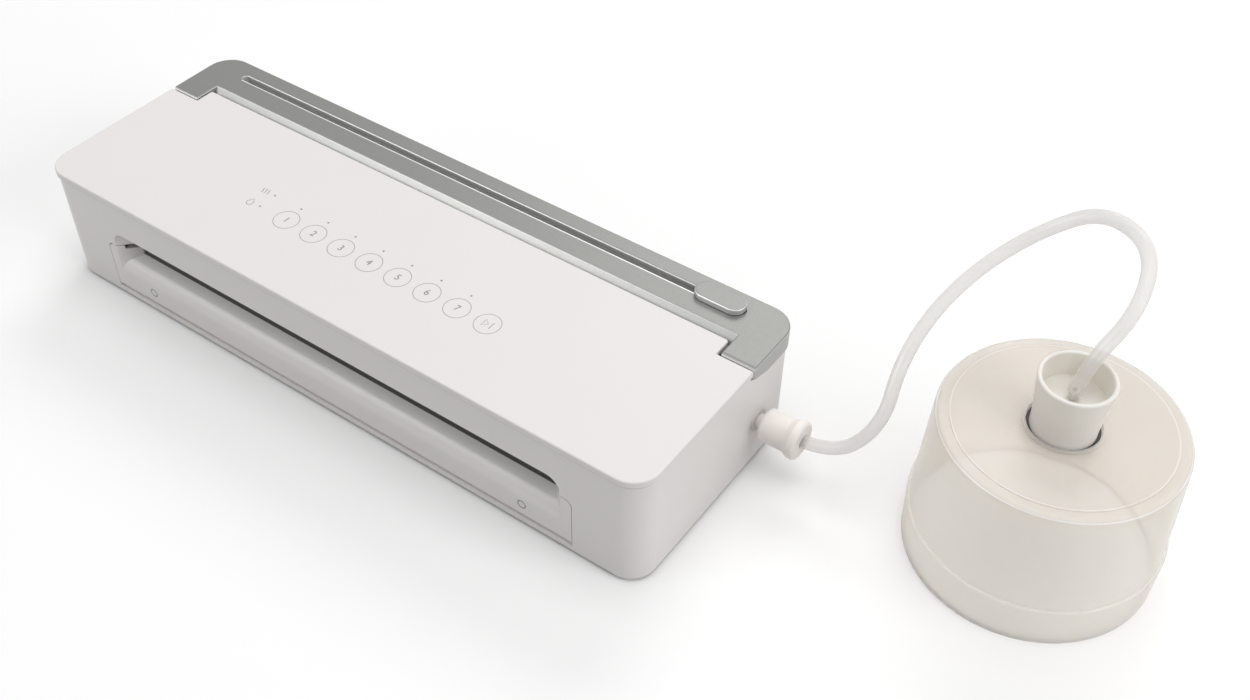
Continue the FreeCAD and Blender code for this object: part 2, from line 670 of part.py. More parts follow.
def cutting_bed():
    front = PANEL_STEP - BED_RISER
    plate = wide_box(INNER_X, front, INNER_Y, BED_UNDER, BED_TOP)
    plate = plate.makeFillet(INNER_CORNER, upright_edges(plate, lambda point: point.y > PANEL_REAR))
    groove_bottom = BED_TOP - GROOVE_DEPTH
    trough = wide_box(SLOT_HALF + TROUGH_MARGIN, SLOT_Y - GROOVE_WIDTH, SLOT_Y + GROOVE_WIDTH,
                      groove_bottom - BED_RISER, BED_UNDER)
    riser = wide_box(TONGUE_HALF, PANEL_REAR - BED_RISER, PANEL_REAR, BED_UNDER, PANEL_UNDER)
    pieces = [plate, trough, riser]
    inner = TONGUE_HALF - BED_RISER
    eye_x0, eye_x1 = LID_EYE_X - LID_EYE_WIDTH / 2, LID_EYE_X + LID_EYE_WIDTH / 2
    for side in SIDES:
        pieces.append(side_box(side, inner, TONGUE_HALF, front, PANEL_REAR, BED_UNDER, PANEL_UNDER))
        pieces.append(side_box(side, inner, INNER_X, front, PANEL_STEP, BED_UNDER, PANEL_UNDER))
        pieces.append(side_box(side, eye_x0, eye_x1, LID_REAR_BAR + EYE_LEG_GAP, INNER_Y,
                               BED_UNDER, LID_AXIS_Z))
        pieces.append(side_rod(side, LID_EYE_RADIUS, eye_x0, eye_x1, LID_AXIS_Y, LID_AXIS_Z))
    bed = joined(pieces)
    half = GROOVE_WIDTH / 2
    bed = bed.cut(wide_box(SLOT_HALF, SLOT_Y - half, SLOT_Y + half, groove_bottom, BED_TOP))
    for side in SIDES:
        bed = bed.cut(side_rod(side, PIN_RADIUS + RUNNING_FIT, eye_x0, eye_x1, LID_AXIS_Y, LID_AXIS_Z))
    return bed


# Cutter lid pieces
def cutter_lid():
    block = wide_box(OUTER_X, LID_FRONT, OUTER_Y, SKIRT_Z, TOP)
    block = block.makeFillet(CORNER_RADIUS, upright_edges(block, lambda point: point.y > BAR_TOP))
    block = block.cut(wide_box(ARM_INNER, LID_FRONT, BAR_FOOT, SKIRT_Z, TOP))
    bevel = [(BAR_FOOT, TOP - LID_BEVEL), (BAR_TOP, TOP), (BAR_FOOT, TOP)]
    block = block.cut(prism_yz(bevel, -ARM_INNER, ARM_INNER))
    taper = [(LID_FRONT, SKIRT_Z), (LID_FRONT + LID_TAPER_LENGTH, SKIRT_Z),
             (LID_FRONT, SKIRT_Z + LID_TAPER_RISE)]
    block = block.cut(prism_yz(taper, -OUTER_X, OUTER_X))
    heel = wide_box(OUTER_X, LID_AXIS_Y, OUTER_Y, SKIRT_Z, LID_AXIS_Z)
    heel = heel.cut(x_rod(LID_HINGE_RADIUS, -OUTER_X, OUTER_X, LID_AXIS_Y, LID_AXIS_Z))
    block = block.cut(heel)
    block = block.cut(stadium(2 * SLOT_HALF, SLOT_WIDTH, 0, SLOT_Y, LID_UNDER, TOP))
    arm_front = level_edges(block, TOP, lambda point: abs(point.y - LID_FRONT) < TINY)
    block = block.makeFillet(LID_ARM_ROUND, arm_front)
    crisp = level_edges(block, TOP, lambda point: point.y > LID_FRONT + 2 * LID_ARM_ROUND)
    block = block.makeFillet(EDGE_ROUND, crisp)
    return block.cut(lid_hollow())


def lid_hollow():
    inner_x = OUTER_X - LID_WALL
    front_wall = BAR_FOOT + LID_FRONT_WALL
    middle = wide_box(inner_x, front_wall, LID_REAR_BAR, SKIRT_Z, LID_UNDER - LID_BEVEL / 2)
    middle = middle.makeFillet(INNER_CORNER, upright_edges(middle, lambda point: point.y > SLOT_Y))
    roof = wide_box(inner_x, BAR_TOP + LID_FRONT_WALL / 2, LID_REAR_BAR, LID_UNDER - LID_BEVEL / 2, LID_UNDER)
    roof = roof.makeFillet(INNER_CORNER, upright_edges(roof, lambda point: point.y > SLOT_Y))
    pieces = [middle, roof, wide_box(TONGUE_HALF, BAR_FOOT, front_wall, SKIRT_Z, SKIRT_Z + FILM_STRIP_HEIGHT)]
    for side in SIDES:
        pieces.append(side_box(side, ARM_INNER + LID_WALL, inner_x, LID_FRONT + LID_WALL,
                               BAR_TOP + LID_FRONT_WALL, SKIRT_Z, LID_UNDER))
        half_notch = LID_EYE_WIDTH / 2 + SLIDE_GAP
        pieces.append(side_box(side, LID_EYE_X - half_notch, LID_EYE_X + half_notch, LID_REAR_BAR - SLIDE_GAP,
                               OUTER_Y, SKIRT_Z, LID_AXIS_Z + LID_HINGE_RADIUS + SLIDE_GAP))
        half_pin = LID_PIN_LENGTH / 2
        pieces.append(side_rod(side, PIN_RADIUS, LID_EYE_X - half_pin, LID_EYE_X + half_pin,
                               LID_AXIS_Y, LID_AXIS_Z))
    return joined(pieces)


def lid_hinge_pins():
    half = LID_PIN_LENGTH / 2
    pins = [side_rod(side, PIN_RADIUS, LID_EYE_X - half, LID_EYE_X + half, LID_AXIS_Y, LID_AXIS_Z)
            for side in SIDES]
    return Part.makeCompound(pins)


def film_press_strip():
    return wide_box(TONGUE_HALF, BAR_FOOT, BAR_FOOT + LID_FRONT_WALL, SKIRT_Z, SKIRT_Z + FILM_STRIP_HEIGHT)


def cutter_rail():
    half = SLOT_HALF + RAIL_WALL
    rail = wide_box(half, SLOT_Y - RAIL_OUTER, SLOT_Y + RAIL_OUTER, RAIL_BOTTOM, LID_UNDER)
    rail = rail.cut(wide_box(SLOT_HALF, SLOT_Y - RAIL_INNER, SLOT_Y + RAIL_INNER,
                             RAIL_TOP_OF_FLOOR, LID_UNDER))
    slit = BLADE_THICKNESS / 2 + 2 * SLIDE_GAP
    return rail.cut(wide_box(SLOT_HALF, SLOT_Y - slit, SLOT_Y + slit, RAIL_BOTTOM, RAIL_TOP_OF_FLOOR))


def cutter_knob():
    cap_bottom = TOP + SLIDE_GAP
    cap = stadium(KNOB_LENGTH, KNOB_WIDTH, KNOB_X, SLOT_Y, cap_bottom, cap_bottom + KNOB_HEIGHT)
    cap = cap.makeFillet(KNOB_ROUND, level_edges(cap, cap_bottom + KNOB_HEIGHT, lambda point: True))
    stem = stadium(STEM_LENGTH, SLOT_WIDTH - 2 * SLIDE_GAP, KNOB_X, SLOT_Y, CARRIAGE_TOP, cap_bottom)
    return joined([cap, stem]).cut(z_rod(SCREW_RADIUS, KNOB_X, SLOT_Y, CARRIAGE_TOP, cap_bottom))


def cutter_carriage():
    carriage = box(KNOB_X - CARRIAGE_LENGTH / 2, KNOB_X + CARRIAGE_LENGTH / 2, SLOT_Y - CARRIAGE_WIDTH / 2,
                   SLOT_Y + CARRIAGE_WIDTH / 2, CARRIAGE_UNDER, CARRIAGE_TOP)
    carriage = carriage.cut(z_rod(SCREW_RADIUS, KNOB_X, SLOT_Y, CARRIAGE_UNDER, CARRIAGE_TOP))
    head_top = CARRIAGE_UNDER + SCREW_HEAD_HEIGHT
    carriage = carriage.cut(z_rod(SCREW_HEAD_RADIUS, KNOB_X, SLOT_Y, CARRIAGE_UNDER, head_top))
    return carriage.cut(blade_slot())


def blade_slot():
    start = KNOB_X - CARRIAGE_LENGTH / 2
    return box(start, start + BLADE_LENGTH, SLOT_Y - BLADE_THICKNESS / 2, SLOT_Y + BLADE_THICKNESS / 2,
               CARRIAGE_UNDER, CARRIAGE_TOP)


def cutter_blade():
    start = KNOB_X - CARRIAGE_LENGTH / 2
    stop = start + BLADE_LENGTH
    tip = BED_TOP - BLADE_REACH
    outline = [(start, CARRIAGE_TOP), (stop, CARRIAGE_TOP), (stop, CARRIAGE_UNDER), ((start + stop) / 2, tip),
               (start, CARRIAGE_UNDER)]
    back = SLOT_Y - BLADE_THICKNESS / 2
    wire = Part.makePolygon([Vector(x, back, z) for x, z in outline + outline[:1]])
    return Part.Face(wire).extrude(Vector(0, BLADE_THICKNESS, 0))


def carriage_screw():
    head = z_rod(SCREW_HEAD_RADIUS, KNOB_X, SLOT_Y, CARRIAGE_UNDER, CARRIAGE_UNDER + SCREW_HEAD_HEIGHT)
    return joined([head, z_rod(SCREW_RADIUS, KNOB_X, SLOT_Y, CARRIAGE_UNDER, TOP)])


# Front flap pieces
def front_flap(hollow):
    skin = wide_box(FLAP_HALF, FLAP_FRONT, FLAP_AXIS_Y, FLAP_AXIS_Z, FLAP_Z1)
    skin = flap_corners(skin, FLAP_Z1)
    barrel = x_rod(FLAP_SKIN, -FLAP_HALF, FLAP_HALF, FLAP_AXIS_Y, FLAP_AXIS_Z)
    core = wide_box(FLAP_CORE_HALF, FLAP_FRONT, FLAP_CORE_BACK, FLAP_AXIS_Z, FLAP_CORE_TOP)
    flap = joined([skin, barrel, core]).cut(hollow).cut(flap_pocket())
    for side in SIDES:
        flap = flap.cut(side_rod(side, PIN_RADIUS, FLAP_PIN_START, FLAP_HALF, FLAP_AXIS_Y, FLAP_AXIS_Z))
    for x, z in flap_screw_places():
        flap = flap.cut(y_rod(SCREW_RADIUS, x, FLAP_CORE_BACK - FLAP_SKIN, FLAP_CORE_BACK, z))
    return flap


def flap_pocket():
    half = MOUTH_INNER - FLAP_SKIN
    angle = math.radians(SCOOP_ANGLE)
    end_y, end_z = scoop_line()[1]
    knee_y = end_y + FLAP_SKIN * math.cos(angle)
    knee_z = end_z - FLAP_SKIN * math.sin(angle)
    top = knee_z + (FLAP_CORE_BACK - knee_y) / math.tan(angle)
    floor = FLAP_AXIS_Z + FLAP_SKIN
    outline = [(FLAP_AXIS_Y, floor), (FLAP_AXIS_Y, SCOOP_Z0), (knee_y, knee_z), (FLAP_CORE_BACK, top),
               (FLAP_CORE_BACK, floor)]
    return prism_yz(outline, -half, half)


def flap_screw_places():
    x = MOUTH_INNER + SCREW_RADIUS
    middle = (FLAP_AXIS_Z + FLAP_CORE_TOP) / 2
    heights = (middle - 2 * SCREW_HEAD_RADIUS, middle + SCREW_HEAD_RADIUS)
    return [(side * x, z) for side in SIDES for z in heights]


def flap_back_plate():
    plate = wide_box(FLAP_CORE_HALF, FLAP_CORE_BACK, FLAP_BACK, FLAP_AXIS_Z, HEATER_Z1 + HEATER_RISE / 2)
    for x, z in flap_screw_places():
        plate = plate.cut(y_rod(SCREW_RADIUS, x, FLAP_CORE_BACK, FLAP_BACK, z))
        plate = plate.cut(y_rod(SCREW_HEAD_RADIUS, x, FLAP_BACK - SCREW_HEAD_HEIGHT, FLAP_BACK, z))
    return plate


def flap_screws():
    screws = []
    for x, z in flap_screw_places():
        head = y_rod(SCREW_HEAD_RADIUS, x, FLAP_BACK - SCREW_HEAD_HEIGHT, FLAP_BACK, z)
        screws.append(joined([head, y_rod(SCREW_RADIUS, x, FLAP_CORE_BACK - FLAP_SKIN, FLAP_BACK, z)]))
    return Part.makeCompound([screw.Solids[0] for screw in screws])


def flap_hinge_pins():
    pins = [side_rod(side, PIN_RADIUS, FLAP_PIN_START, FLAP_PIN_STOP, FLAP_AXIS_Y, FLAP_AXIS_Z)
            for side in SIDES]
    return Part.makeCompound(pins)


def flap_pressure_strip():
    margin = HEATER_RISE / 2
    return wide_box(FLAP_CORE_HALF, FLAP_BACK, SEAL_BACK, HEATER_Z0 - margin, HEATER_Z1 + margin)


def gasket_ring(half, y0, y1, z0, z1):
    outer = wide_box(half, y0, y1, z0, z1)
    return outer.cut(wide_box(half - GASKET_WIDTH, y0, y1, z0 + GASKET_WIDTH, z1 - GASKET_WIDTH))


def flap_gasket():
    return gasket_ring(FLAP_CORE_HALF, FLAP_BACK, SEAL_BACK, FLAP_AXIS_Z, HEATER_Z0 - HEATER_RISE)


def flap_strikes():
    half = STRIKE_WIDTH / 2
    strikes = [side_box(side, STRIKE_X - half, STRIKE_X + half, FLAP_AXIS_Y, FLAP_AXIS_Y + STRIKE_LENGTH,
                        STRIKE_Z, STRIKE_Z + STRIKE_HEIGHT) for side in SIDES]
    return Part.makeCompound(strikes)


# Chamber pieces behind the flap
def vacuum_chamber():
    back = CHAMBER_REAR - CHAMBER_WALL
    low, high = CHAMBER_Z0 + CHAMBER_WALL, CHAMBER_Z1 - CHAMBER_WALL
    walls = [wide_box(CHAMBER_HALF, CHAMBER_FRONT, CHAMBER_REAR, CHAMBER_Z0, low),
             wide_box(CHAMBER_HALF, CHAMBER_FRONT, CHAMBER_REAR, high, CHAMBER_Z1)]
    rib_x = 2 * CHAMBER_HALF / 3
    for side in SIDES:
        walls.append(side_box(side, CHAMBER_HALF - CHAMBER_WALL, CHAMBER_HALF,
                              CHAMBER_FRONT, back, low, high))
        walls.append(side_box(side, rib_x, rib_x + CHAMBER_WALL, CHAMBER_FRONT, CHAMBER_REAR,
                              PLATE_TOP, CHAMBER_Z0))
    nipple_end = CHAMBER_REAR + NIPPLE_LENGTH
    rear = joined([wide_box(CHAMBER_HALF, back, CHAMBER_REAR, low, high),
                   y_rod(NIPPLE_RADIUS, MANIFOLD_X, CHAMBER_REAR, nipple_end, OUTLET_Z)])
    rear = rear.cut(y_rod(CHAMBER_BORE, MANIFOLD_X, back, nipple_end, OUTLET_Z))
    return Part.makeCompound(walls + rear.Solids)


def chamber_gasket():
    return gasket_ring(CHAMBER_HALF, JAW_FRONT, CHAMBER_FRONT, CHAMBER_Z0, CHAMBER_Z1)


def drip_tray():
    half = CHAMBER_HALF - CHAMBER_WALL - TRAY_CLEARANCE
    front = CHAMBER_FRONT + TRAY_CLEARANCE
    rear = CHAMBER_REAR - CHAMBER_WALL - TRAY_CLEARANCE / 2
    floor = CHAMBER_Z0 + CHAMBER_WALL
    top = floor + TRAY_HEIGHT
    inside = floor + TRAY_WALL
    walls = [wide_box(half, front, rear, floor, inside),
             wide_box(half, front, front + TRAY_WALL, inside, top),
             wide_box(half, rear - TRAY_WALL, rear, inside, top)]
    walls += [side_box(side, half - TRAY_WALL, half, front + TRAY_WALL, rear - TRAY_WALL, inside, top)
              for side in SIDES]
    return Part.makeCompound(walls)


def upper_jaw():
    top = LIP_Z + WALL
    web = wide_box(JAW_HALF, JAW_FRONT, JAW_FRONT + JAW_WEB, CHAMBER_Z1, top)
    flanges = [wide_box(JAW_HALF, JAW_FRONT, JAW_FRONT + JAW_DEPTH, top - JAW_FLANGE, top),
               wide_box(JAW_HALF, JAW_FRONT, JAW_FRONT + JAW_DEPTH, HEATER_Z1, HEATER_Z1 + JAW_FLANGE)]
    jaw = joined([web] + flanges)
    groove_back = JAW_FRONT + TAPE_THICKNESS + HEATER_DEPTH
    return jaw.cut(wide_box(CHAMBER_HALF, JAW_FRONT, groove_back, HEATER_Z0, HEATER_Z1))


def heating_bar():
    front = JAW_FRONT + TAPE_THICKNESS
    return wide_box(CHAMBER_HALF, front, front + HEATER_DEPTH, HEATER_Z0, HEATER_Z1)


def heater_tape():
    return wide_box(CHAMBER_HALF, JAW_FRONT, JAW_FRONT + TAPE_THICKNESS, HEATER_Z0, HEATER_Z1)


def push_catches():
    front = FLAP_BACK
    rear = FLAP_AXIS_Y + STRIKE_LENGTH + 2 * CATCH_JAW
    low = STRIKE_Z - CATCH_JAW / 2
    high = STRIKE_Z + STRIKE_HEIGHT + STRIKE_CLIMB
    catches = []
    for side in SIDES:
        x0, x1 = JAW_HALF, JAW_HALF + CATCH_WIDTH
        block = side_box(side, x0, x1, front, rear, low - CATCH_JAW, high + CATCH_JAW)
        catches.append(block.cut(side_box(side, x0, x1, front, rear - CATCH_JAW, low, high)))
    return Part.makeCompound(catches)


def flap_switch():
    left = -CHAMBER_HALF
    rear = CHAMBER_FRONT + GASKET_THICKNESS
    front = rear - SWITCH_LENGTH
    middle_z = (CHAMBER_Z0 + CHAMBER_Z1) / 2
    half = SWITCH_HEIGHT / 2
    case = box(left - SWITCH_WIDTH, left, front, rear, middle_z - half, middle_z + half)
    plunger = y_rod(PLUNGER_RADIUS, left - SWITCH_WIDTH / 2, FLAP_AXIS_Y + SLIDE_GAP, front, middle_z)
    return joined([case, plunger])


# Control pieces below the top panel
def control_span():
    return BUTTONS[0] - BUTTON_PITCH - BOARD_MARGIN, BUTTONS[-1] + BOARD_MARGIN


def control_posts():
    x0, x1 = control_span()
    return [(x, y) for x in (x0 + POST_RADIUS, x1 - POST_RADIUS)
            for y in (BUTTON_Y - BOARD_MARGIN + POST_RADIUS, LAMP_Y + BOARD_MARGIN - POST_RADIUS)]


def control_board():
    x0, x1 = control_span()
    return box(x0, x1, BUTTON_Y - BOARD_MARGIN, LAMP_Y + BOARD_MARGIN,
               CONTROL_TOP - BOARD_THICKNESS, CONTROL_TOP)


def touch_springs():
    inner = SPRING_RADIUS - SPRING_WALL
    springs = [ring(SPRING_RADIUS, inner, x, BUTTON_Y, CONTROL_TOP, PANEL_UNDER) for x in BUTTONS]
    return Part.makeCompound(springs)


def indicator_lamps():
    lamps = [z_rod(LAMP_RADIUS, x, y, CONTROL_TOP, CONTROL_TOP + LAMP_HEIGHT) for x, y in LAMPS]
    return Part.makeCompound(lamps)


# Electric pieces on the base plate
def power_span():
    x1 = MANIFOLD_X - MANIFOLD_WIDTH / 2 - POWER_BOARD_GAP
    y0 = CHAMBER_REAR + POWER_BOARD_CLEAR
    return x1 - POWER_BOARD_LENGTH, x1, y0, y0 + POWER_BOARD_WIDTH


def power_posts():
    x0, x1, y0, y1 = power_span()
    inset = BOARD_POST_INSET
    return [(x, y) for x in (x0 + inset, x1 - inset) for y in (y0 + inset, y1 - inset)]


def power_board():
    x0, x1, y0, y1 = power_span()
    under = PLATE_TOP + POWER_BOARD_LIFT
    return box(x0, x1, y0, y1, under, under + BOARD_THICKNESS)


def power_board_parts():
    x0, x1, y0, y1 = power_span()
    top = PLATE_TOP + POWER_BOARD_LIFT + BOARD_THICKNESS
    left, right = x0 + BOARD_EDGE, x1 - BOARD_EDGE
    front, rear = y0 + BOARD_EDGE, y1 - BOARD_EDGE
    relay = box(left, left + RELAY_LENGTH, rear - RELAY_WIDTH, rear, top, top + RELAY_HEIGHT)
    sink = box(left, left + SINK_LENGTH, front, front + SINK_THICKNESS, top, top + SINK_HEIGHT)
    socket = box(right - SOCKET_LENGTH, right, rear - SOCKET_WIDTH, rear, top, top + SOCKET_HEIGHT)
    can_x, can_y = right - CAN_RADIUS, front + CAN_RADIUS
    cans = [z_rod(CAN_RADIUS, can_x, can_y + step * CAN_PITCH, top, top + CAN_HEIGHT) for step in range(2)]
    return Part.makeCompound([relay, sink, socket] + cans)


def transformer_place():
    return TRANSFORMER_X, INNER_Y - TRANSFORMER_FROM_REAR


def transformer_core():
    x, y = transformer_place()
    half, depth = CORE_LENGTH / 2, CORE_DEPTH / 2
    top = PLATE_TOP + CORE_HEIGHT
    core = box(x - half, x + half, y - depth, y + depth, PLATE_TOP, top)
    for side in SIDES:
        low, high = sorted((x + side * CORE_LEG, x + side * (half - CORE_LEG)))
        core = core.cut(box(low, high, y - depth, y + depth, PLATE_TOP + CORE_LEG, top - CORE_LEG))
    return core


def transformer_winding():
    x, y = transformer_place()
    half = CORE_LENGTH / 2 - CORE_LEG - WINDING_GAP
    depth = CORE_DEPTH / 2
    z0 = PLATE_TOP + CORE_LEG + WINDING_GAP
    z1 = PLATE_TOP + CORE_HEIGHT - CORE_LEG - WINDING_GAP
    coil = box(x - half, x + half, y - depth - WINDING_OVERHANG, y + depth + WINDING_OVERHANG, z0, z1)
    return coil.cut(box(x - CORE_LEG, x + CORE_LEG, y - depth, y + depth, z0, z1))


# Pump pieces
def pump_frame():
    half = FRAME_HALF_WIDTH
    base = box(FRAME_X0, FRAME_X1, PUMP_Y - half, PUMP_Y + half, FRAME_Z0, FRAME_Z1)
    saddle_x1 = PUMP_X - SADDLE_FRONT
    saddle_half = MOTOR_RADIUS - SADDLE_INSET
    saddle = box(saddle_x1 - SADDLE_LENGTH, saddle_x1, PUMP_Y - saddle_half, PUMP_Y + saddle_half,
                 FRAME_Z1, MOTOR_Z - MOTOR_RADIUS / 3)
    saddle = saddle.cut(x_rod(MOTOR_RADIUS, MOTOR_REAR, PUMP_X, PUMP_Y, MOTOR_Z))
    tower_x0, tower_x1 = ROD_X - TOWER_WIDTH / 2, ROD_X + TOWER_WIDTH / 2
    tower = box(tower_x0, tower_x1, PUMP_Y - half, PUMP_Y + half, FRAME_Z1, TOWER_Z1)
    void = half - TOWER_LEG
    tower = tower.cut(box(tower_x0, tower_x1, PUMP_Y - void, PUMP_Y + void, FRAME_Z1, TOWER_Z1 - TOWER_TOP))
    frame = joined([base, saddle, tower])
    return frame.cut(z_rod(CYLINDER_BORE, ROD_X, PUMP_Y, TOWER_Z1 - TOWER_TOP, TOWER_Z1))


def pump_grommets():
    reach = FRAME_HALF_WIDTH - GROMMET_RADIUS
    ends = (FRAME_X0 + GROMMET_RADIUS, FRAME_X1 - GROMMET_RADIUS)
    grommets = [z_rod(GROMMET_RADIUS, x, PUMP_Y + side * reach, PLATE_TOP, FRAME_Z0)
                for x in ends for side in SIDES]
    return Part.makeCompound(grommets)


def pump_motor():
    motor = x_rod(MOTOR_RADIUS, MOTOR_REAR, PUMP_X, PUMP_Y, MOTOR_Z)
    motor = motor.makeFillet(EDGE_ROUND, [edge for edge in motor.Edges if edge.Closed])
    return motor.cut(x_rod(PIN_RADIUS + RUNNING_FIT, PUMP_X - MOTOR_LENGTH / 2, PUMP_X, PUMP_Y, MOTOR_Z))


def pump_crank():
    shaft = x_rod(PIN_RADIUS, PUMP_X - MOTOR_LENGTH / 2 + SLIDE_GAP, CRANK_FACE, PUMP_Y, MOTOR_Z)
    disc = x_rod(CRANK_DISC, PUMP_X + CRANK_STANDOFF, CRANK_FACE, PUMP_Y, MOTOR_Z)
    pin = x_rod(PIN_RADIUS, CRANK_FACE, CRANK_FACE + CRANK_PIN_LENGTH, PUMP_Y, MOTOR_Z + CRANK_THROW)
    return joined([shaft, disc, pin])


def pump_piston():
    half = CRANK_PIN_LENGTH / 2 - SLIDE_GAP
    low = TOWER_Z1 + CYLINDER_HEIGHT / 2 - PISTON_HEIGHT / 2
    big_end = x_rod(ROD_OUTER, ROD_X - half, ROD_X + half, PUMP_Y, MOTOR_Z)
    rod = ROD_WIDTH / 2
    link = box(ROD_X - half, ROD_X + half, PUMP_Y - rod, PUMP_Y + rod, MOTOR_Z, low)
    head = z_rod(PISTON_RADIUS, ROD_X, PUMP_Y, low, low + PISTON_HEIGHT)
    return joined([big_end, link, head]).cut(x_rod(ROD_BORE, ROD_X - half, ROD_X + half, PUMP_Y, MOTOR_Z))


def pump_cylinder():
    return ring(CYLINDER_OUTER, CYLINDER_BORE, ROD_X, PUMP_Y, TOWER_Z1, CYLINDER_Z1)


def pump_head():
    cap = z_rod(CYLINDER_OUTER, ROD_X, PUMP_Y, CYLINDER_Z1, CYLINDER_Z1 + HEAD_HEIGHT)
    nipple_end = ROD_X + CYLINDER_OUTER + NIPPLE_LENGTH
    head = joined([cap, x_rod(NIPPLE_RADIUS, ROD_X, nipple_end, PUMP_Y, HEAD_Z)])
    return head.cut(x_rod(NIPPLE_BORE, ROD_X, nipple_end, PUMP_Y, HEAD_Z))


# Air pieces
def vacuum_manifold():
    half = MANIFOLD_WIDTH / 2
    right = MANIFOLD_X + half + NIPPLE_LENGTH
    front = MANIFOLD_FRONT - NIPPLE_LENGTH
    top = MANIFOLD_Z1 + NIPPLE_LENGTH
    block = box(MANIFOLD_X - half, MANIFOLD_X + half, MANIFOLD_FRONT, MANIFOLD_REAR, MANIFOLD_Z0, MANIFOLD_Z1)
    foot = box(MANIFOLD_X - half / 2, MANIFOLD_X + half / 2, PUMP_Y, PORT_Y, PLATE_TOP, MANIFOLD_Z0)
    spouts = [
        y_rod(NIPPLE_RADIUS, MANIFOLD_X, front, MANIFOLD_FRONT, OUTLET_Z),
        z_rod(NIPPLE_RADIUS, MANIFOLD_X, PUMP_Y, MANIFOLD_Z1, top),
        x_rod(NIPPLE_RADIUS, MANIFOLD_X + half, right, PORT_Y, PORT_Z),
    ]
    bores = [
        y_rod(NIPPLE_BORE, MANIFOLD_X, front, PUMP_Y, OUTLET_Z),
        y_rod(GALLERY_BORE, MANIFOLD_X, PUMP_Y - RISER_BORE, PORT_Y + RISER_BORE, OUTLET_Z),
        z_rod(NIPPLE_BORE, MANIFOLD_X, PUMP_Y, OUTLET_Z, top),
        z_rod(RISER_BORE, MANIFOLD_X, PORT_Y, OUTLET_Z, PORT_Z),
        x_rod(NIPPLE_BORE, MANIFOLD_X, right, PORT_Y, PORT_Z),
    ]
    manifold = joined([block, foot] + spouts)
    for bore in bores:
        manifold = manifold.cut(bore)
    return manifold


def vent_valve():
    middle = (MANIFOLD_Z0 + MANIFOLD_Z1) / 2
    return y_rod(VALVE_RADIUS, MANIFOLD_X, MANIFOLD_REAR, MANIFOLD_REAR + VALVE_LENGTH, middle)


def chamber_tube():
    start = CHAMBER_REAR + NIPPLE_LENGTH - TUBE_OVERLAP
    stop = MANIFOLD_FRONT - NIPPLE_LENGTH + TUBE_OVERLAP
    tube = y_rod(TUBE_OUTER, MANIFOLD_X, start, stop, OUTLET_Z)
    return tube.cut(y_rod(NIPPLE_RADIUS, MANIFOLD_X, start, stop, OUTLET_Z))


def port_tube():
    start = MANIFOLD_X + MANIFOLD_WIDTH / 2 + NIPPLE_LENGTH - TUBE_OVERLAP
    stop = PORT_INNER - NIPPLE_LENGTH + TUBE_OVERLAP
    tube = x_rod(TUBE_OUTER, start, stop, PORT_Y, PORT_Z)
    return tube.cut(x_rod(NIPPLE_RADIUS, start, stop, PORT_Y, PORT_Z))


def pump_tube():
    start = Vector(ROD_X + CYLINDER_OUTER + NIPPLE_LENGTH - TUBE_OVERLAP, PUMP_Y, HEAD_Z)
    corner = Vector(MANIFOLD_X, PUMP_Y, HEAD_Z)
    bend_start = corner - Vector(TUBE_BEND, 0, 0)
    bend_end = corner - Vector(0, 0, TUBE_BEND)
    stop = Vector(MANIFOLD_X, PUMP_Y, MANIFOLD_Z1 + NIPPLE_LENGTH - TUBE_OVERLAP)
    share = TUBE_BEND * (1 - math.cos(math.radians(45)))
    middle = corner - Vector(share, 0, share)
    path = Part.Wire([Part.makeLine(start, bend_start), Part.Arc(bend_start, middle, bend_end).toShape(),
                      Part.makeLine(bend_end, stop)])
    outer, inner = [
        path.makePipeShell([Part.Wire(Part.Circle(start, X_AXIS, radius).toShape())], True, False)
        for radius in (TUBE_OUTER, NIPPLE_RADIUS)
    ]
    return outer.cut(inner)


def vacuum_port():
    flange = x_rod(PORT_FLANGE_RADIUS, PORT_INNER, INNER_X, PORT_Y, PORT_Z)
    barrel = x_rod(PORT_RADIUS, PORT_INNER, OUTER_X, PORT_Y, PORT_Z)
    nipple = x_rod(NIPPLE_RADIUS, PORT_INNER - NIPPLE_LENGTH, PORT_INNER, PORT_Y, PORT_Z)
    port = joined([flange, barrel, nipple])
    port = port.cut(x_rod(NIPPLE_BORE, PORT_INNER - NIPPLE_LENGTH, OUTER_X, PORT_Y, PORT_Z))
    socket = PLUG_SPIGOT_RADIUS + RUNNING_FIT
    return port.cut(x_rod(socket, OUTER_X - PLUG_SPIGOT_LENGTH - RUNNING_FIT, OUTER_X, PORT_Y, PORT_Z))


def cord_gland():
    flange = y_rod(GLAND_RADIUS + GLAND_FLANGE, GLAND_X, INNER_Y - WALL, INNER_Y, GLAND_Z)
    barrel = y_rod(GLAND_RADIUS, GLAND_X, INNER_Y, OUTER_Y - RUNNING_FIT, GLAND_Z)
    return joined([flange, barrel]).cut(y_rod(GLAND_BORE, GLAND_X, INNER_Y - WALL, OUTER_Y, GLAND_Z))


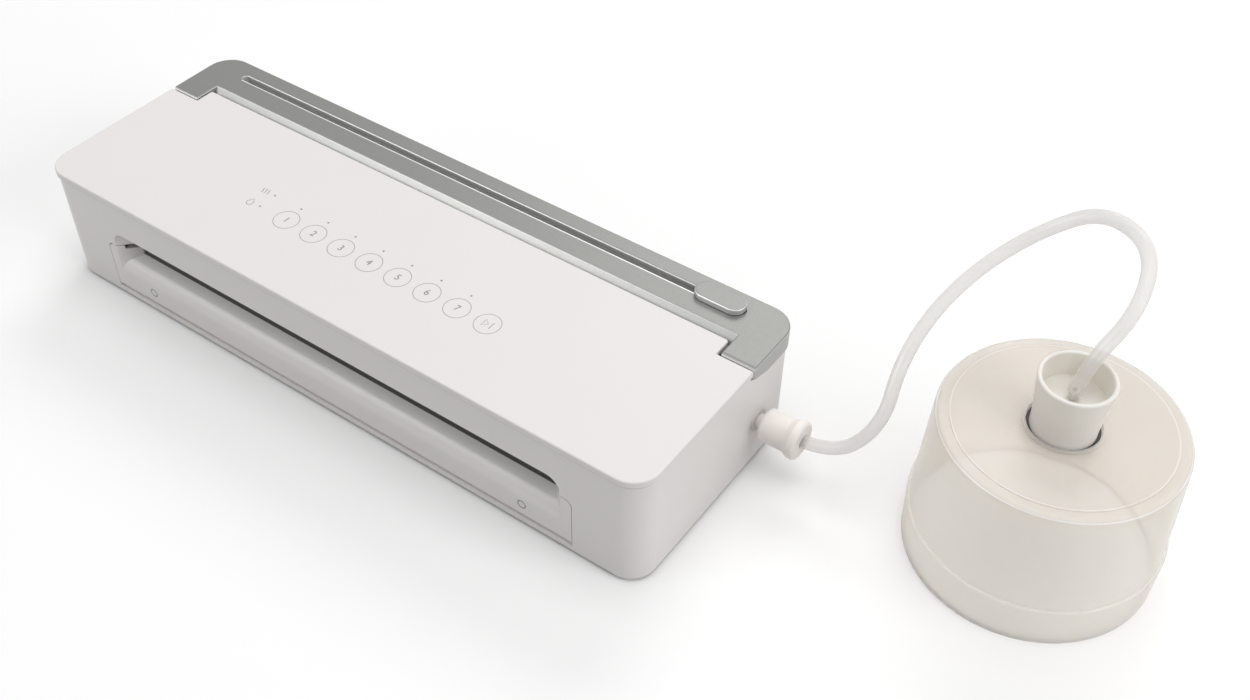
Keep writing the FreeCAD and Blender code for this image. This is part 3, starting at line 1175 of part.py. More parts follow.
# Hose and what hangs on it
def hose_plug():
    spigot = x_rod(PLUG_SPIGOT_RADIUS, PLUG_START - PLUG_SPIGOT_LENGTH, PLUG_START, PORT_Y, PORT_Z)
    neck = x_rod(PLUG_NECK_RADIUS, PLUG_START, PLUG_BODY, PORT_Y, PORT_Z)
    collar_x = PLUG_END - PLUG_COLLAR
    barrel = x_rod(PLUG_RADIUS, PLUG_BODY, collar_x, PORT_Y, PORT_Z)
    nose = [edge for edge in barrel.Edges if edge.Closed and edge.CenterOfMass.x < PLUG_BODY + CUT_REACH]
    barrel = barrel.makeFillet(PLUG_NOSE, nose)
    flare_start = Vector(collar_x - PLUG_FLARE, PORT_Y, PORT_Z)
    flare = Part.makeCone(PLUG_RADIUS, PLUG_COLLAR_RADIUS, PLUG_FLARE, flare_start, X_AXIS)
    collar = x_rod(PLUG_COLLAR_RADIUS, collar_x, PLUG_END, PORT_Y, PORT_Z)
    rim = [edge for edge in collar.Edges if edge.Closed and edge.CenterOfMass.x > PLUG_END - CUT_REACH]
    collar = collar.makeFillet(PLUG_NOSE, rim)
    plug = joined([spigot, neck, barrel, flare, collar])
    plug = plug.cut(x_rod(HOSE_RADIUS + RUNNING_FIT, SOCKET_X, PLUG_END, PORT_Y, PORT_Z))
    return plug.cut(x_rod(NIPPLE_BORE, PLUG_START - PLUG_SPIGOT_LENGTH, SOCKET_X, PORT_Y, PORT_Z))


def hose_points():
    start = Vector(SOCKET_X, PORT_Y, PORT_Z)
    first = start + Vector(HOSE_FIRST_RUN, 0, 0)
    end = Vector(BELL_X, BELL_Y, CUP_FLOOR + HOSE_END_LIFT)
    return [start, first] + [Vector(*point) for point in HOSE_ROUTE] + [end]


def hose():
    points = hose_points()
    edges = []
    radii = []
    last = points[0]
    for before, corner, after in zip(points, points[1:], points[2:]):
        inward, outward = corner - before, after - corner
        tangent = HOSE_BEND_SHARE * min(inward.Length, outward.Length)
        inward.normalize()
        outward.normalize()
        half_turn = inward.getAngle(outward) / 2
        radius = tangent / math.tan(half_turn)
        bisector = outward - inward
        bisector.normalize()
        bend_start, bend_end = corner - inward * tangent, corner + outward * tangent
        middle = corner + bisector * (radius / math.cos(half_turn) - radius)
        edges += [Part.makeLine(last, bend_start), Part.Arc(bend_start, middle, bend_end).toShape()]
        radii.append(round(radius, 1))
        last = bend_end
    edges.append(Part.makeLine(last, points[-1]))
    path = Part.Wire(edges)
    section = Part.Wire(Part.Circle(points[0], X_AXIS, HOSE_RADIUS).toShape())
    tube = path.makePipeShell([section], True, False)
    expected = math.pi * HOSE_RADIUS ** 2 * path.Length
    print("hose length %.1f, bend radii %s, volume share %.4f" % (path.Length, radii, tube.Volume / expected))
    return tube


def adapter_cup():
    barrel_top = BELL_HEIGHT + CUP_BARREL
    outline = [
        (CUP_BORE, CUP_BOTTOM),
        (CUP_BASE_RADIUS, CUP_BOTTOM),
        (CUP_BASE_RADIUS, barrel_top),
        (CUP_RADIUS, CUP_TOP),
        (CUP_RADIUS - CUP_WALL, CUP_TOP),
        (CUP_RADIUS - CUP_WALL - CUP_DRAFT, CUP_FLOOR),
        (CUP_NIPPLE_RADIUS, CUP_FLOOR),
        (CUP_NIPPLE_RADIUS, CUP_FLOOR + CUP_NIPPLE_HEIGHT),
        (CUP_BORE, CUP_FLOOR + CUP_NIPPLE_HEIGHT),
    ]
    cup = turned(outline, BELL_X, BELL_Y)
    return cup.makeFillet(CUP_WALL / 2 - RUNNING_FIT, level_edges(cup, CUP_TOP, lambda point: True))


def cup_seal():
    z0 = BELL_PLATE_UNDER - SLIDE_GAP - SEAL_FLANGE
    outline = [
        (CUP_BASE_RADIUS, z0),
        (SEAL_RADIUS + SEAL_FLANGE_WIDTH, z0),
        (SEAL_RADIUS + SEAL_FLANGE_WIDTH, z0 + SEAL_FLANGE),
        (SEAL_RADIUS, z0 + SEAL_FLANGE),
        (SEAL_RADIUS, BELL_HEIGHT - SEAL_SUNK),
        (CUP_BASE_RADIUS, BELL_HEIGHT - SEAL_SUNK),
    ]
    return turned(outline, BELL_X, BELL_Y)


def bell():
    collar_top = BELL_HEIGHT + BELL_COLLAR_HEIGHT
    shoulder_z = BELL_HEIGHT - BELL_STEP
    bottom = BELL_GASKET_PROUD
    wall_foot = BELL_RIM_RADIUS - BELL_LEDGE
    rim_inner = BELL_RIM_RADIUS - BELL_RIM_WALL
    outline = [
        (rim_inner, bottom),
        (BELL_RIM_RADIUS - BELL_RIM_DRAFT, bottom),
        (BELL_RIM_RADIUS, BELL_RIM_HEIGHT),
        (wall_foot, BELL_RIM_HEIGHT),
        (BELL_TOP_RADIUS, shoulder_z),
        (BELL_STEP_RADIUS, shoulder_z),
        (BELL_STEP_RADIUS, BELL_HEIGHT),
        (BELL_HOLE + BELL_COLLAR_WIDTH, BELL_HEIGHT),
        (BELL_HOLE + BELL_COLLAR_WIDTH, collar_top),
        (BELL_HOLE, collar_top),
        (BELL_HOLE, BELL_PLATE_UNDER),
        (BELL_STEP_RADIUS - BELL_WALL, BELL_PLATE_UNDER),
        (BELL_STEP_RADIUS - BELL_WALL, BELL_PLATE_UNDER - BELL_STEP),
        (BELL_TOP_RADIUS - BELL_WALL, BELL_PLATE_UNDER - BELL_STEP),
        (wall_foot - BELL_WALL, BELL_RIM_HEIGHT),
        (rim_inner, BELL_RIM_HEIGHT - BELL_LEDGE),
    ]
    body = turned(outline, BELL_X, BELL_Y)
    shoulder = level_edges(body, shoulder_z, lambda point: True)
    widest = max(shoulder, key=lambda edge: edge.Length)
    body = body.makeFillet(BELL_SHOULDER, [widest])
    ledge = max(level_edges(body, BELL_RIM_HEIGHT, lambda point: True), key=lambda edge: edge.Length)
    body = body.makeFillet(EDGE_ROUND, [ledge])
    return body.cut(bell_gasket())


def bell_gasket():
    middle = BELL_RIM_RADIUS - BELL_RIM_DRAFT - BELL_RIM_WALL / 2
    half = BELL_GASKET_WIDTH / 2
    return ring(middle + half, middle - half, BELL_X, BELL_Y, 0, BELL_GASKET_HEIGHT)


def build():
    os.makedirs("parts", exist_ok=True)
    hollow = mouth_hollow()
    save("body_shell", body_shell(hollow))
    save("front_flap", front_flap(hollow))
    makers = [
        top_panel, base_plate, housing_screws, rubber_feet, cutting_bed, cutter_lid, lid_hinge_pins,
        film_press_strip, cutter_rail, cutter_knob, cutter_carriage, cutter_blade, carriage_screw,
        flap_back_plate, flap_screws, flap_hinge_pins, flap_pressure_strip, flap_gasket, flap_strikes,
        vacuum_chamber, chamber_gasket, drip_tray, upper_jaw, heating_bar, heater_tape, push_catches,
        flap_switch, control_board, touch_springs, indicator_lamps, power_board, power_board_parts,
        transformer_core, transformer_winding, pump_frame, pump_grommets, pump_motor, pump_crank,
        pump_piston, pump_cylinder, pump_head, vacuum_manifold, vent_valve, chamber_tube, port_tube,
        pump_tube, vacuum_port, cord_gland, hose_plug, hose, adapter_cup, cup_seal, bell, bell_gasket,
    ]
    for maker in makers:
        save(maker.__name__, maker())


build()
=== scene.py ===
import json
import math

import bmesh
import bpy
from mathutils import Matrix, Vector


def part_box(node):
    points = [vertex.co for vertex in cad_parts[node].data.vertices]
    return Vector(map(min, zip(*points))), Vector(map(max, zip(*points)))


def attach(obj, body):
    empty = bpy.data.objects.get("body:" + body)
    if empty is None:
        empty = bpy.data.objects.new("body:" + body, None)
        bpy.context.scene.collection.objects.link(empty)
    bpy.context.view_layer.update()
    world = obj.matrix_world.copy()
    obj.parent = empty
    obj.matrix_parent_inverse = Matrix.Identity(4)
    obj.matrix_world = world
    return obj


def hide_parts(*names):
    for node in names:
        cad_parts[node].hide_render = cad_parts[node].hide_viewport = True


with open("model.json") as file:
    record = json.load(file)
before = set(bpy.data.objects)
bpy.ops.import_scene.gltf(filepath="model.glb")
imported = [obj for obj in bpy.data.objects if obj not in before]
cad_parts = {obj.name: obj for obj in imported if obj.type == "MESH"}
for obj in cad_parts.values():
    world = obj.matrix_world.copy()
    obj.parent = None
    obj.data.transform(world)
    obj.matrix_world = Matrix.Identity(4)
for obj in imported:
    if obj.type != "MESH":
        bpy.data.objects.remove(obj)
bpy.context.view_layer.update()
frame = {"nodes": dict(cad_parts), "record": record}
nodes = frame["nodes"]

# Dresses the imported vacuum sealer: camera, hose, printed marks, materials and a plain studio.
# Metres, in the same frame as the solids.
MM = 0.001

# Camera of the photograph, its angles in degrees, its lens and sensor in millimetres
CAMERA_PLACE = (406.2 * MM, -392.0 * MM, 531.4 * MM)
CAMERA_AZIMUTH = 34.66
CAMERA_ELEVATION = 44.13
CAMERA_ROLL = 0.95
CAMERA_LENS = 41.915
SENSOR_WIDTH = 36.0

# Hose between the plug's socket and the cup's nipple, its route in millimetres
HOSE_DIAMETER = 6.5 * MM
HOSE_ROUTE = [
    (206.0, 33.1, 28.2),
    (230.0, 33.1, 28.2),
    (247.0, 43.5, 50.5),
    (243.0, 61.0, 75.0),
    (246.0, 83.0, 93.0),
    (255.5, 105.0, 108.0),
    (272.0, 123.0, 124.0),
    (294.5, 130.0, 142.0),
    (322.0, 114.0, 145.5),
    (329.0, 88.0, 133.0),
    (319.5, 70.0, 111.5),
    (318.4, 65.1, 98.0),
]

# Printed marks on the top panel
BUTTON_COUNT = 8
BUTTON_FIRST_X = -56.0 * MM
BUTTON_PITCH = 18.5 * MM
BUTTON_Y = -23.3 * MM
BUTTON_RADIUS = 6.7 * MM
LAMP_Y = -12.7 * MM
LAMP_DOT = 0.55 * MM
RING_LINE = 0.36 * MM
SIGN_LINE = 0.32 * MM
DIGIT_HEIGHT = 5.6 * MM
PRINT_LIFT = 0.03 * MM
CIRCLE_STEPS = 64

# Start sign, its reach as a share of the button's radius and its tip as a share of that reach
START_REACH = 0.34
START_TIP = 0.2

# Drop and heat signs beside the warning lamps, as shares of the sign's size and angles in degrees
SIGN_SIZE = 3.6 * MM
SIGN_SHIFT = 6.5 * MM
DROP_RADIUS = 0.5
DROP_SINK = 0.2
DROP_TIP = 0.75
DROP_START = 150
DROP_TURN = 240
DROP_STEPS = 24
HEAT_SPACING = 0.5
HEAT_SWAY = 0.12
HEAT_STEPS = 20

# Printed rings on the flap
FLAP_MARK_X = 123.4 * MM
FLAP_MARK_Z = 14.2 * MM
FLAP_MARK_RADIUS = 2.2 * MM
FLAP_MARK_LINE = 0.6 * MM

# Painted shade inside the bag mouth, behind the flap's crest and the lip: dark where only shade falls
MOUTH_X = (-136.9 * MM, 136.9 * MM)
MOUTH_Y = (-55.45 * MM, -48.0 * MM)
MOUTH_Z = (28.4 * MM, 45.6 * MM)

# Painted shade on the scoop below the mouth, darkest at its back under the lip
SCOOP_X = (-146.2 * MM, 146.2 * MM)
SCOOP_Y = (-63.8 * MM, -56.5 * MM)
SCOOP_Z = (17.0 * MM, 36.0 * MM)
SCOOP_PAINTED_SHADE = 0.7

# Faint parting line just below the top panel
PARTING_Z = (63.8 * MM, 64.5 * MM)
PARTING_SHADE = 0.78

# Slot of the cutter: walls painted pale as painted light, painted highlights on its rounded rim and along its
# front edge
SLOT_X = (-167.0 * MM, 167.0 * MM)
SLOT_Y = (51.0 * MM, 57.0 * MM)
SLOT_WALL_Z = (65.5 * MM, 68.5 * MM)
SLOT_RIM_Z = (68.5 * MM, 68.88 * MM)
SLOT_FRONT_X = (-164.5 * MM, 164.5 * MM)
SLOT_FRONT_Y = (50.75 * MM, 51.75 * MM)
SLOT_FRONT_Z = (68.6 * MM, 69.2 * MM)

# Painted highlight along the upper edge of the lid's bevel
BEVEL_LINE_X = (-171.5 * MM, 171.5 * MM)
BEVEL_LINE_Y = (38.8 * MM, 39.6 * MM)
BEVEL_LINE_Z = (68.3 * MM, 69.2 * MM)

# Shoulder of the bell, where its thicker top takes over from the wall; above it painted shade darkens the
# top, and a painted highlight runs round it
SHOULDER_Z = (73.5 * MM, 77.0 * MM)
SHOULDER_LINE_Z = (77.25 * MM, 77.7 * MM)

# Painted highlight round the raised middle of the bell's top, along its step's edge
BELL_MIDDLE = (318.4 * MM, 65.1 * MM, 0.0)
BELL_LINE_RADII = (47.85 * MM, 48.45 * MM)
BELL_LINE_Z = (78.7 * MM, 79.2 * MM)

# Sleeve of the cup's seal above its pale flange, painted black as painted shade of the gap round the cup
SLEEVE_X = (290.0 * MM, 350.0 * MM)
SLEEVE_Y = (40.0 * MM, 90.0 * MM)
SLEEVE_Z = (76.6 * MM, 80.0 * MM)

# Colours that more than one material shares, or that mark a place on a piece
WHITE = (0.79, 0.767, 0.755)
PAINTED_LIGHT_WHITE = (0.97, 0.95, 0.94)
MOUTH_PAINTED_SHADE = (0.15, 0.138, 0.135)
SILVER = (0.232, 0.232, 0.222)
SILVER_PAINTED_LIGHT = (0.66, 0.66, 0.645)
BEVEL_PAINTED_HIGHLIGHT = (0.28, 0.28, 0.272)
SLOT_RIM_PAINTED_HIGHLIGHT = (0.42, 0.42, 0.41)
SLOT_FRONT_PAINTED_HIGHLIGHT = (0.68, 0.68, 0.66)
SLOT_WALL_PAINTED_LIGHT = (0.45, 0.45, 0.435)
FROST_SIDE = (0.93, 0.832, 0.74)
FROST_TOP_PAINTED_SHADE = (0.72, 0.66, 0.60)
BELL_LINE_PAINTED_HIGHLIGHT = (0.90, 0.85, 0.80)
SLEEVE_PAINTED_SHADE = (0.03, 0.03, 0.03)

# Finish of the materials
NOISE_SPAN = (0.3, 0.7)
CLOUD_SCALE = 14.0
ROUGHNESS_SPREAD = 0.04
GRAIN_DEPTH = 0.02 * MM
SILVER_METALLIC = 0.55

# Painted light by how far a face looks up: lighter sides below the first value, painted edge highlights from
# the second, then a fade
SIDE_FACING = 0.2
EDGE_FACING = 0.35
EDGE_FADE = 0.14

# Cover of the frosted bell, straight on and at a slant, more on its top, less to shadow and bounced light
FROST_COVER = (0.48, 0.56)
FROST_TOP_COVER = 1.2
FROST_SHADOW = 0.3

# Studio, with its lamps as name, place, aim, size and power
WORLD_LIGHT = 0.42
FLOOR_HALF = 6.0
FLOOR_FADE = (0.8, 1.6)
FLOOR_SEEN = 1.0
FLOOR_BOUNCE = 0.55
LAMPS = [
    ("top_lamp", (0.3, 0.1, 3.0), (0.1, 0.0, 0.0), (2.0, 2.0), 30.0),
    ("rear_lamp", (-0.6, 2.2, 2.2), (0.1, 0.0, 0.0), (1.6, 1.2), 22.0),
    ("right_lamp", (3.0, 0.2, 1.4), (0.1, 0.0, 0.05), (2.0, 1.6), 34.0),
    ("front_lamp", (-1.5, -1.8, 0.8), (0.1, 0.0, 0.05), (1.2, 0.8), 7.0),
]
SHEEN_LAMP = ("sheen_lamp", (-1.1, -1.4, 1.3), (0.05, 0.03, 0.06), (0.9, 0.9), 26.0)


def add_object(name, data):
    made = bpy.data.objects.new(name, data)
    bpy.context.scene.collection.objects.link(made)
    return made


def paint(piece, finish):
    piece.data.materials.clear()
    piece.data.materials.append(finish)


# Camera
def make_camera():
    azimuth, elevation, roll = [math.radians(a) for a in (CAMERA_AZIMUTH, CAMERA_ELEVATION, CAMERA_ROLL)]
    back = Vector((
        math.sin(azimuth) * math.cos(elevation),
        -math.cos(azimuth) * math.cos(elevation),
        math.sin(elevation),
    ))
    level = Vector((math.cos(azimuth), math.sin(azimuth), 0.0))
    above = back.cross(level)
    right = level * math.cos(roll) + above * math.sin(roll)
    up = above * math.cos(roll) - level * math.sin(roll)
    data = bpy.data.cameras.new("camera")
    data.sensor_fit = "HORIZONTAL"
    data.sensor_width = SENSOR_WIDTH
    data.lens = CAMERA_LENS
    camera = add_object("camera", data)
    turn = Matrix((right, up, back)).transposed().to_4x4()
    camera.matrix_world = Matrix.Translation(CAMERA_PLACE) @ turn
    bpy.context.scene.camera = camera


# Values in a material
def start_material(name):
    made = bpy.data.materials.new(name)
    made.use_nodes = True
    tree = made.node_tree
    return made, tree, tree.nodes["Principled BSDF"]


def object_place(tree):
    return tree.nodes.new("ShaderNodeTexCoord").outputs["Object"]


def split_axes(tree):
    axes = tree.nodes.new("ShaderNodeSeparateXYZ")
    tree.links.new(object_place(tree), axes.inputs["Vector"])
    return axes.outputs


def stretched(tree, scales):
    mapping = tree.nodes.new("ShaderNodeMapping")
    mapping.inputs["Scale"].default_value = scales
    tree.links.new(object_place(tree), mapping.inputs["Vector"])
    return mapping.outputs["Vector"]


def noise(tree, scale, detail=3.0, place=None):
    texture = tree.nodes.new("ShaderNodeTexNoise")
    texture.inputs["Scale"].default_value = scale
    texture.inputs["Detail"].default_value = detail
    tree.links.new(place or object_place(tree), texture.inputs["Vector"])
    return texture.outputs["Fac"]


def map_range(tree, value, span, low, high):
    values = tree.nodes.new("ShaderNodeMapRange")
    values.inputs["From Min"].default_value, values.inputs["From Max"].default_value = span
    values.inputs["To Min"].default_value = low
    values.inputs["To Max"].default_value = high
    tree.links.new(value, values.inputs["Value"])
    return values.outputs["Result"]


def spread(tree, factor, low, high):
    return map_range(tree, factor, NOISE_SPAN, low, high)


def blend_values(tree, factor, low, high):
    return map_range(tree, factor, (0.0, 1.0), low, high)


def along(tree, axis, span):
    return map_range(tree, split_axes(tree)[axis], span, 0.0, 1.0)


def calculate(tree, operation, first, second):
    step = tree.nodes.new("ShaderNodeMath")
    step.operation = operation
    tree.links.new(first, step.inputs[0])
    if isinstance(second, float):
        step.inputs[1].default_value = second
    else:
        tree.links.new(second, step.inputs[1])
    return step.outputs["Value"]


def times(tree, first, second):
    return calculate(tree, "MULTIPLY", first, second)


def larger(tree, first, second):
    return calculate(tree, "MAXIMUM", first, second)


# Places on a piece, as masks
def within(tree, value, span):
    low, high = span
    above = calculate(tree, "GREATER_THAN", value, low)
    below = calculate(tree, "LESS_THAN", value, high)
    return times(tree, above, below)


def inside_box(tree, x_span, y_span, z_span):
    axes = split_axes(tree)
    inside = within(tree, axes["X"], x_span)
    inside = times(tree, inside, within(tree, axes["Y"], y_span))
    return times(tree, inside, within(tree, axes["Z"], z_span))


def inside_ring(tree, middle, radii):
    flat = tree.nodes.new("ShaderNodeVectorMath")
    flat.operation = "MULTIPLY"
    flat.inputs[1].default_value = (1.0, 1.0, 0.0)
    tree.links.new(object_place(tree), flat.inputs[0])
    reach = tree.nodes.new("ShaderNodeVectorMath")
    reach.operation = "DISTANCE"
    reach.inputs[1].default_value = middle
    tree.links.new(flat.outputs["Vector"], reach.inputs[0])
    return within(tree, reach.outputs["Value"], radii)


def painted_side_and_edge_light(tree, side, fade):
    facing = tree.nodes.new("ShaderNodeSeparateXYZ")
    tree.links.new(tree.nodes.new("ShaderNodeTexCoord").outputs["Normal"], facing.inputs["Vector"])
    light = tree.nodes.new("ShaderNodeValToRGB")
    stops = light.color_ramp.elements
    stops[0].position, stops[0].color = SIDE_FACING, (side, side, side, 1.0)
    stops[1].position, stops[1].color = fade, (0.0, 0.0, 0.0, 1.0)
    for place in (EDGE_FACING, fade - EDGE_FADE):
        stops.new(place).color = (1.0, 1.0, 1.0, 1.0)
    tree.links.new(facing.outputs["Z"], light.inputs["Fac"])
    return light.outputs["Color"]


# Colour and relief
def shade(color, factor):
    return tuple(min(1.0, channel * factor) for channel in color)


def ramp(tree, factor, low, high, span=NOISE_SPAN):
    blend = tree.nodes.new("ShaderNodeValToRGB")
    first, last = blend.color_ramp.elements
    first.position, last.position = span
    first.color = (*low, 1.0)
    last.color = (*high, 1.0)
    tree.links.new(factor, blend.inputs["Fac"])
    return blend.outputs["Color"]


def recolor(tree, shader, mask, color):
    mix = tree.nodes.new("ShaderNodeMix")
    mix.data_type = "RGBA"
    tree.links.new(mask, mix.inputs["Factor"])
    tree.links.new(shader.inputs["Base Color"].links[0].from_socket, mix.inputs["A"])
    mix.inputs["B"].default_value = (*color, 1.0)
    tree.links.new(mix.outputs["Result"], shader.inputs["Base Color"])


def relief(tree, shader, height, strength, distance):
    bump = tree.nodes.new("ShaderNodeBump")
    bump.inputs["Strength"].default_value = strength
    bump.inputs["Distance"].default_value = distance
    tree.links.new(height, bump.inputs["Height"])
    tree.links.new(bump.outputs["Normal"], shader.inputs["Normal"])


def glow_through(shader, weight, radius, scale):
    shader.inputs["Subsurface Weight"].default_value = weight
    shader.inputs["Subsurface Radius"].default_value = radius
    shader.inputs["Subsurface Scale"].default_value = scale


# Kinds of material
def moulded(name, color, roughness, vary=0.02, grain=1500.0, strength=0.15):
    made, tree, shader = start_material(name)
    cloud = noise(tree, CLOUD_SCALE)
    speck = noise(tree, grain, 2.0)
    tones = ramp(tree, cloud, shade(color, 1 - vary), shade(color, 1 + vary))
    tree.links.new(tones, shader.inputs["Base Color"])
    gloss = spread(tree, speck, roughness - ROUGHNESS_SPREAD, roughness + ROUGHNESS_SPREAD)
    tree.links.new(gloss, shader.inputs["Roughness"])
    relief(tree, shader, speck, strength, GRAIN_DEPTH)
    return made, tree, shader


def brushed(name, scale, stretch, dark, pale, smooth, rough):
    made, tree, shader = start_material(name)
    lines = noise(tree, scale, place=stretched(tree, (stretch, 1.0, 1.0)))
    tree.links.new(ramp(tree, lines, dark, pale), shader.inputs["Base Color"])
    tree.links.new(spread(tree, lines, smooth, rough), shader.inputs["Roughness"])
    shader.inputs["Metallic"].default_value = 1.0
    return made


# White plastics
def white_gloss():
    made, _, shader = moulded("white_gloss", WHITE, 0.44, vary=0.006, grain=320.0, strength=0.02)
    shader.inputs["Specular IOR Level"].default_value = 0.3
    return made


def white_satin():
    return moulded("white_satin", WHITE, 0.42, vary=0.008, grain=600.0, strength=0.03)[0]


# A paler white, painted light on the flap's strikes in the deep gap under the lip
def painted_light_white():
    return moulded("painted_light_white", PAINTED_LIGHT_WHITE, 0.45, vary=0.01, grain=600.0, strength=0.03)[0]


# White with painted shade in the bag mouth and on the scoop below it, and a faint parting line
def white_with_painted_mouth_shade():
    made, tree, shader = moulded("white_with_painted_mouth_shade", WHITE, 0.42, vary=0.008, grain=600.0, strength=0.03)
    # Painted shade on the scoop, darker towards its back under the lip
    scoop = inside_box(tree, SCOOP_X, (SCOOP_Y[0], MOUTH_Y[1]), SCOOP_Z)
    recolor(tree, shader, times(tree, scoop, along(tree, "Y", SCOOP_Y)), shade(WHITE, SCOOP_PAINTED_SHADE))
    # Painted shade: the inside of the bag mouth dark, where the lip shades it
    recolor(tree, shader, inside_box(tree, MOUTH_X, MOUTH_Y, MOUTH_Z), MOUTH_PAINTED_SHADE)
    recolor(tree, shader, within(tree, split_axes(tree)["Z"], PARTING_Z), shade(WHITE, PARTING_SHADE))
    return made


def white_plastic():
    return moulded("white_plastic", (0.70, 0.67, 0.62), 0.45, vary=0.03, grain=1800.0, strength=0.2)[0]


def cup_white():
    color = (0.82, 0.79, 0.74)
    made, _, shader = moulded("cup_white", color, 0.36, vary=0.008, grain=320.0, strength=0.02)
    glow_through(shader, 0.5, (1.0, 0.9, 0.75), 4.0 * MM)
    return made


# Silver lid and knob with painted light and highlights, and the rail in pale grey as painted light in the
# slot
def silver_satin(name, side, fade):
    made, tree, shader = start_material(name)
    flakes = tree.nodes.new("ShaderNodeTexVoronoi")
    flakes.inputs["Scale"].default_value = 3200.0
    tree.links.new(object_place(tree), flakes.inputs["Vector"])
    tones = ramp(tree, flakes.outputs["Distance"], shade(SILVER, 1.12), shade(SILVER, 0.88), (0.0, 0.8))
    tree.links.new(tones, shader.inputs["Base Color"])
    # Painted light on the silver's sides and painted highlights on its rounded edges
    recolor(tree, shader, painted_side_and_edge_light(tree, side, fade), SILVER_PAINTED_LIGHT)
    grain = noise(tree, 2400.0, 2.0)
    tree.links.new(spread(tree, grain, 0.36, 0.46), shader.inputs["Roughness"])
    relief(tree, shader, grain, 0.12, GRAIN_DEPTH)
    shader.inputs["Metallic"].default_value = SILVER_METALLIC
    return made, tree, shader


def silver_knob():
    return silver_satin("silver_satin", side=0.8, fade=0.94)[0]


def silver_with_painted_slot_light():
    made, tree, shader = silver_satin("silver_with_painted_slot_light", side=0.46, fade=0.66)
    # Painted highlight along the top of the bevel
    recolor(tree, shader, inside_box(tree, BEVEL_LINE_X, BEVEL_LINE_Y, BEVEL_LINE_Z), BEVEL_PAINTED_HIGHLIGHT)
    # Painted highlights on the slot's rounded rim and along its front edge
    recolor(tree, shader, inside_box(tree, SLOT_X, SLOT_Y, SLOT_RIM_Z), SLOT_RIM_PAINTED_HIGHLIGHT)
    recolor(tree, shader, inside_box(tree, SLOT_FRONT_X, SLOT_FRONT_Y, SLOT_FRONT_Z), SLOT_FRONT_PAINTED_HIGHLIGHT)
    # Painted light: the slot's walls paler than the silver, and not metallic
    walls = inside_box(tree, SLOT_X, SLOT_Y, SLOT_WALL_Z)
    recolor(tree, shader, walls, SLOT_WALL_PAINTED_LIGHT)
    tree.links.new(blend_values(tree, walls, SILVER_METALLIC, 0.0), shader.inputs["Metallic"])
    return made


# Pale grey for the rail, painted light in the shaded slot
def rail_grey_painted_light():
    return moulded("rail_grey_painted_light", (0.78, 0.78, 0.76), 0.5, grain=1200.0, strength=0.1)[0]


# Hose, seals, bell and rubber
def silicone():
    color = (0.92, 0.865, 0.825)
    made, _, shader = moulded("silicone", color, 0.42, vary=0.012, grain=500.0, strength=0.08)
    glow_through(shader, 0.5, (1.0, 0.8, 0.7), 3.0 * MM)
    return made


def slant(tree, blend):
    edge = tree.nodes.new("ShaderNodeLayerWeight")
    edge.inputs["Blend"].default_value = blend
    return edge.outputs["Facing"]


def clear_hose():
    color = (0.85, 0.82, 0.79)
    made, tree, shader = moulded("clear_hose", color, 0.22, vary=0.01, grain=500.0, strength=0.02)
    tree.links.new(spread(tree, slant(tree, 0.35), 0.4, 0.75), shader.inputs["Alpha"])
    return made


def seal_with_painted_sleeve_shade():
    made, tree, shader = moulded("seal_with_painted_sleeve_shade", (0.80, 0.76, 0.72), 0.5, vary=0.01, grain=500.0)
    # Painted shade: the sleeve black, for the shaded gap round the cup
    recolor(tree, shader, inside_box(tree, SLEEVE_X, SLEEVE_Y, SLEEVE_Z), SLEEVE_PAINTED_SHADE)
    return made


def frosted():
    made, tree, shader = moulded("frosted", FROST_SIDE, 0.4, vary=0.01, grain=300.0, strength=0.04)
    top = along(tree, "Z", SHOULDER_Z)
    # Painted shade: the top darker than the sides, where the lamps light it more
    recolor(tree, shader, top, FROST_TOP_PAINTED_SHADE)
    level = split_axes(tree)["Z"]
    # Painted highlight round the shoulder
    recolor(tree, shader, within(tree, level, SHOULDER_LINE_Z), PAINTED_LIGHT_WHITE)
    # Painted highlight on the edge of the raised middle
    ring = inside_ring(tree, BELL_MIDDLE, BELL_LINE_RADII)
    recolor(tree, shader, times(tree, ring, within(tree, level, BELL_LINE_Z)), BELL_LINE_PAINTED_HIGHLIGHT)
    cover = spread(tree, slant(tree, 0.3), *FROST_COVER)
    cover = times(tree, cover, blend_values(tree, top, 1.0, FROST_TOP_COVER))
    path = tree.nodes.new("ShaderNodeLightPath")
    soft = larger(tree, path.outputs["Is Shadow Ray"], path.outputs["Is Diffuse Ray"])
    cover = times(tree, cover, blend_values(tree, soft, 1.0, FROST_SHADOW))
    tree.links.new(cover, shader.inputs["Alpha"])
    glow_through(shader, 1.0, (1.0, 0.9, 0.8), 8.0 * MM)
    return made


def black_rubber():
    return moulded("black_rubber", (0.022, 0.022, 0.023), 0.65, vary=0.15, grain=1600.0, strength=0.4)[0]


# Dark plastics, metals, tape and electric pieces
def dark_plastic():
    return moulded("dark_plastic", (0.045, 0.045, 0.048), 0.48, vary=0.1, grain=2200.0, strength=0.3)[0]


def piston_plastic():
    return moulded("piston_plastic", (0.06, 0.06, 0.065), 0.42, vary=0.1, grain=1700.0, strength=0.25)[0]


def steel():
    return brushed("steel", 900.0, 0.08, (0.52, 0.52, 0.53), (0.64, 0.64, 0.64), 0.24, 0.36)


def heater_metal():
    return brushed("heater_metal", 1200.0, 0.04, (0.50, 0.49, 0.47), (0.66, 0.65, 0.63), 0.30, 0.42)


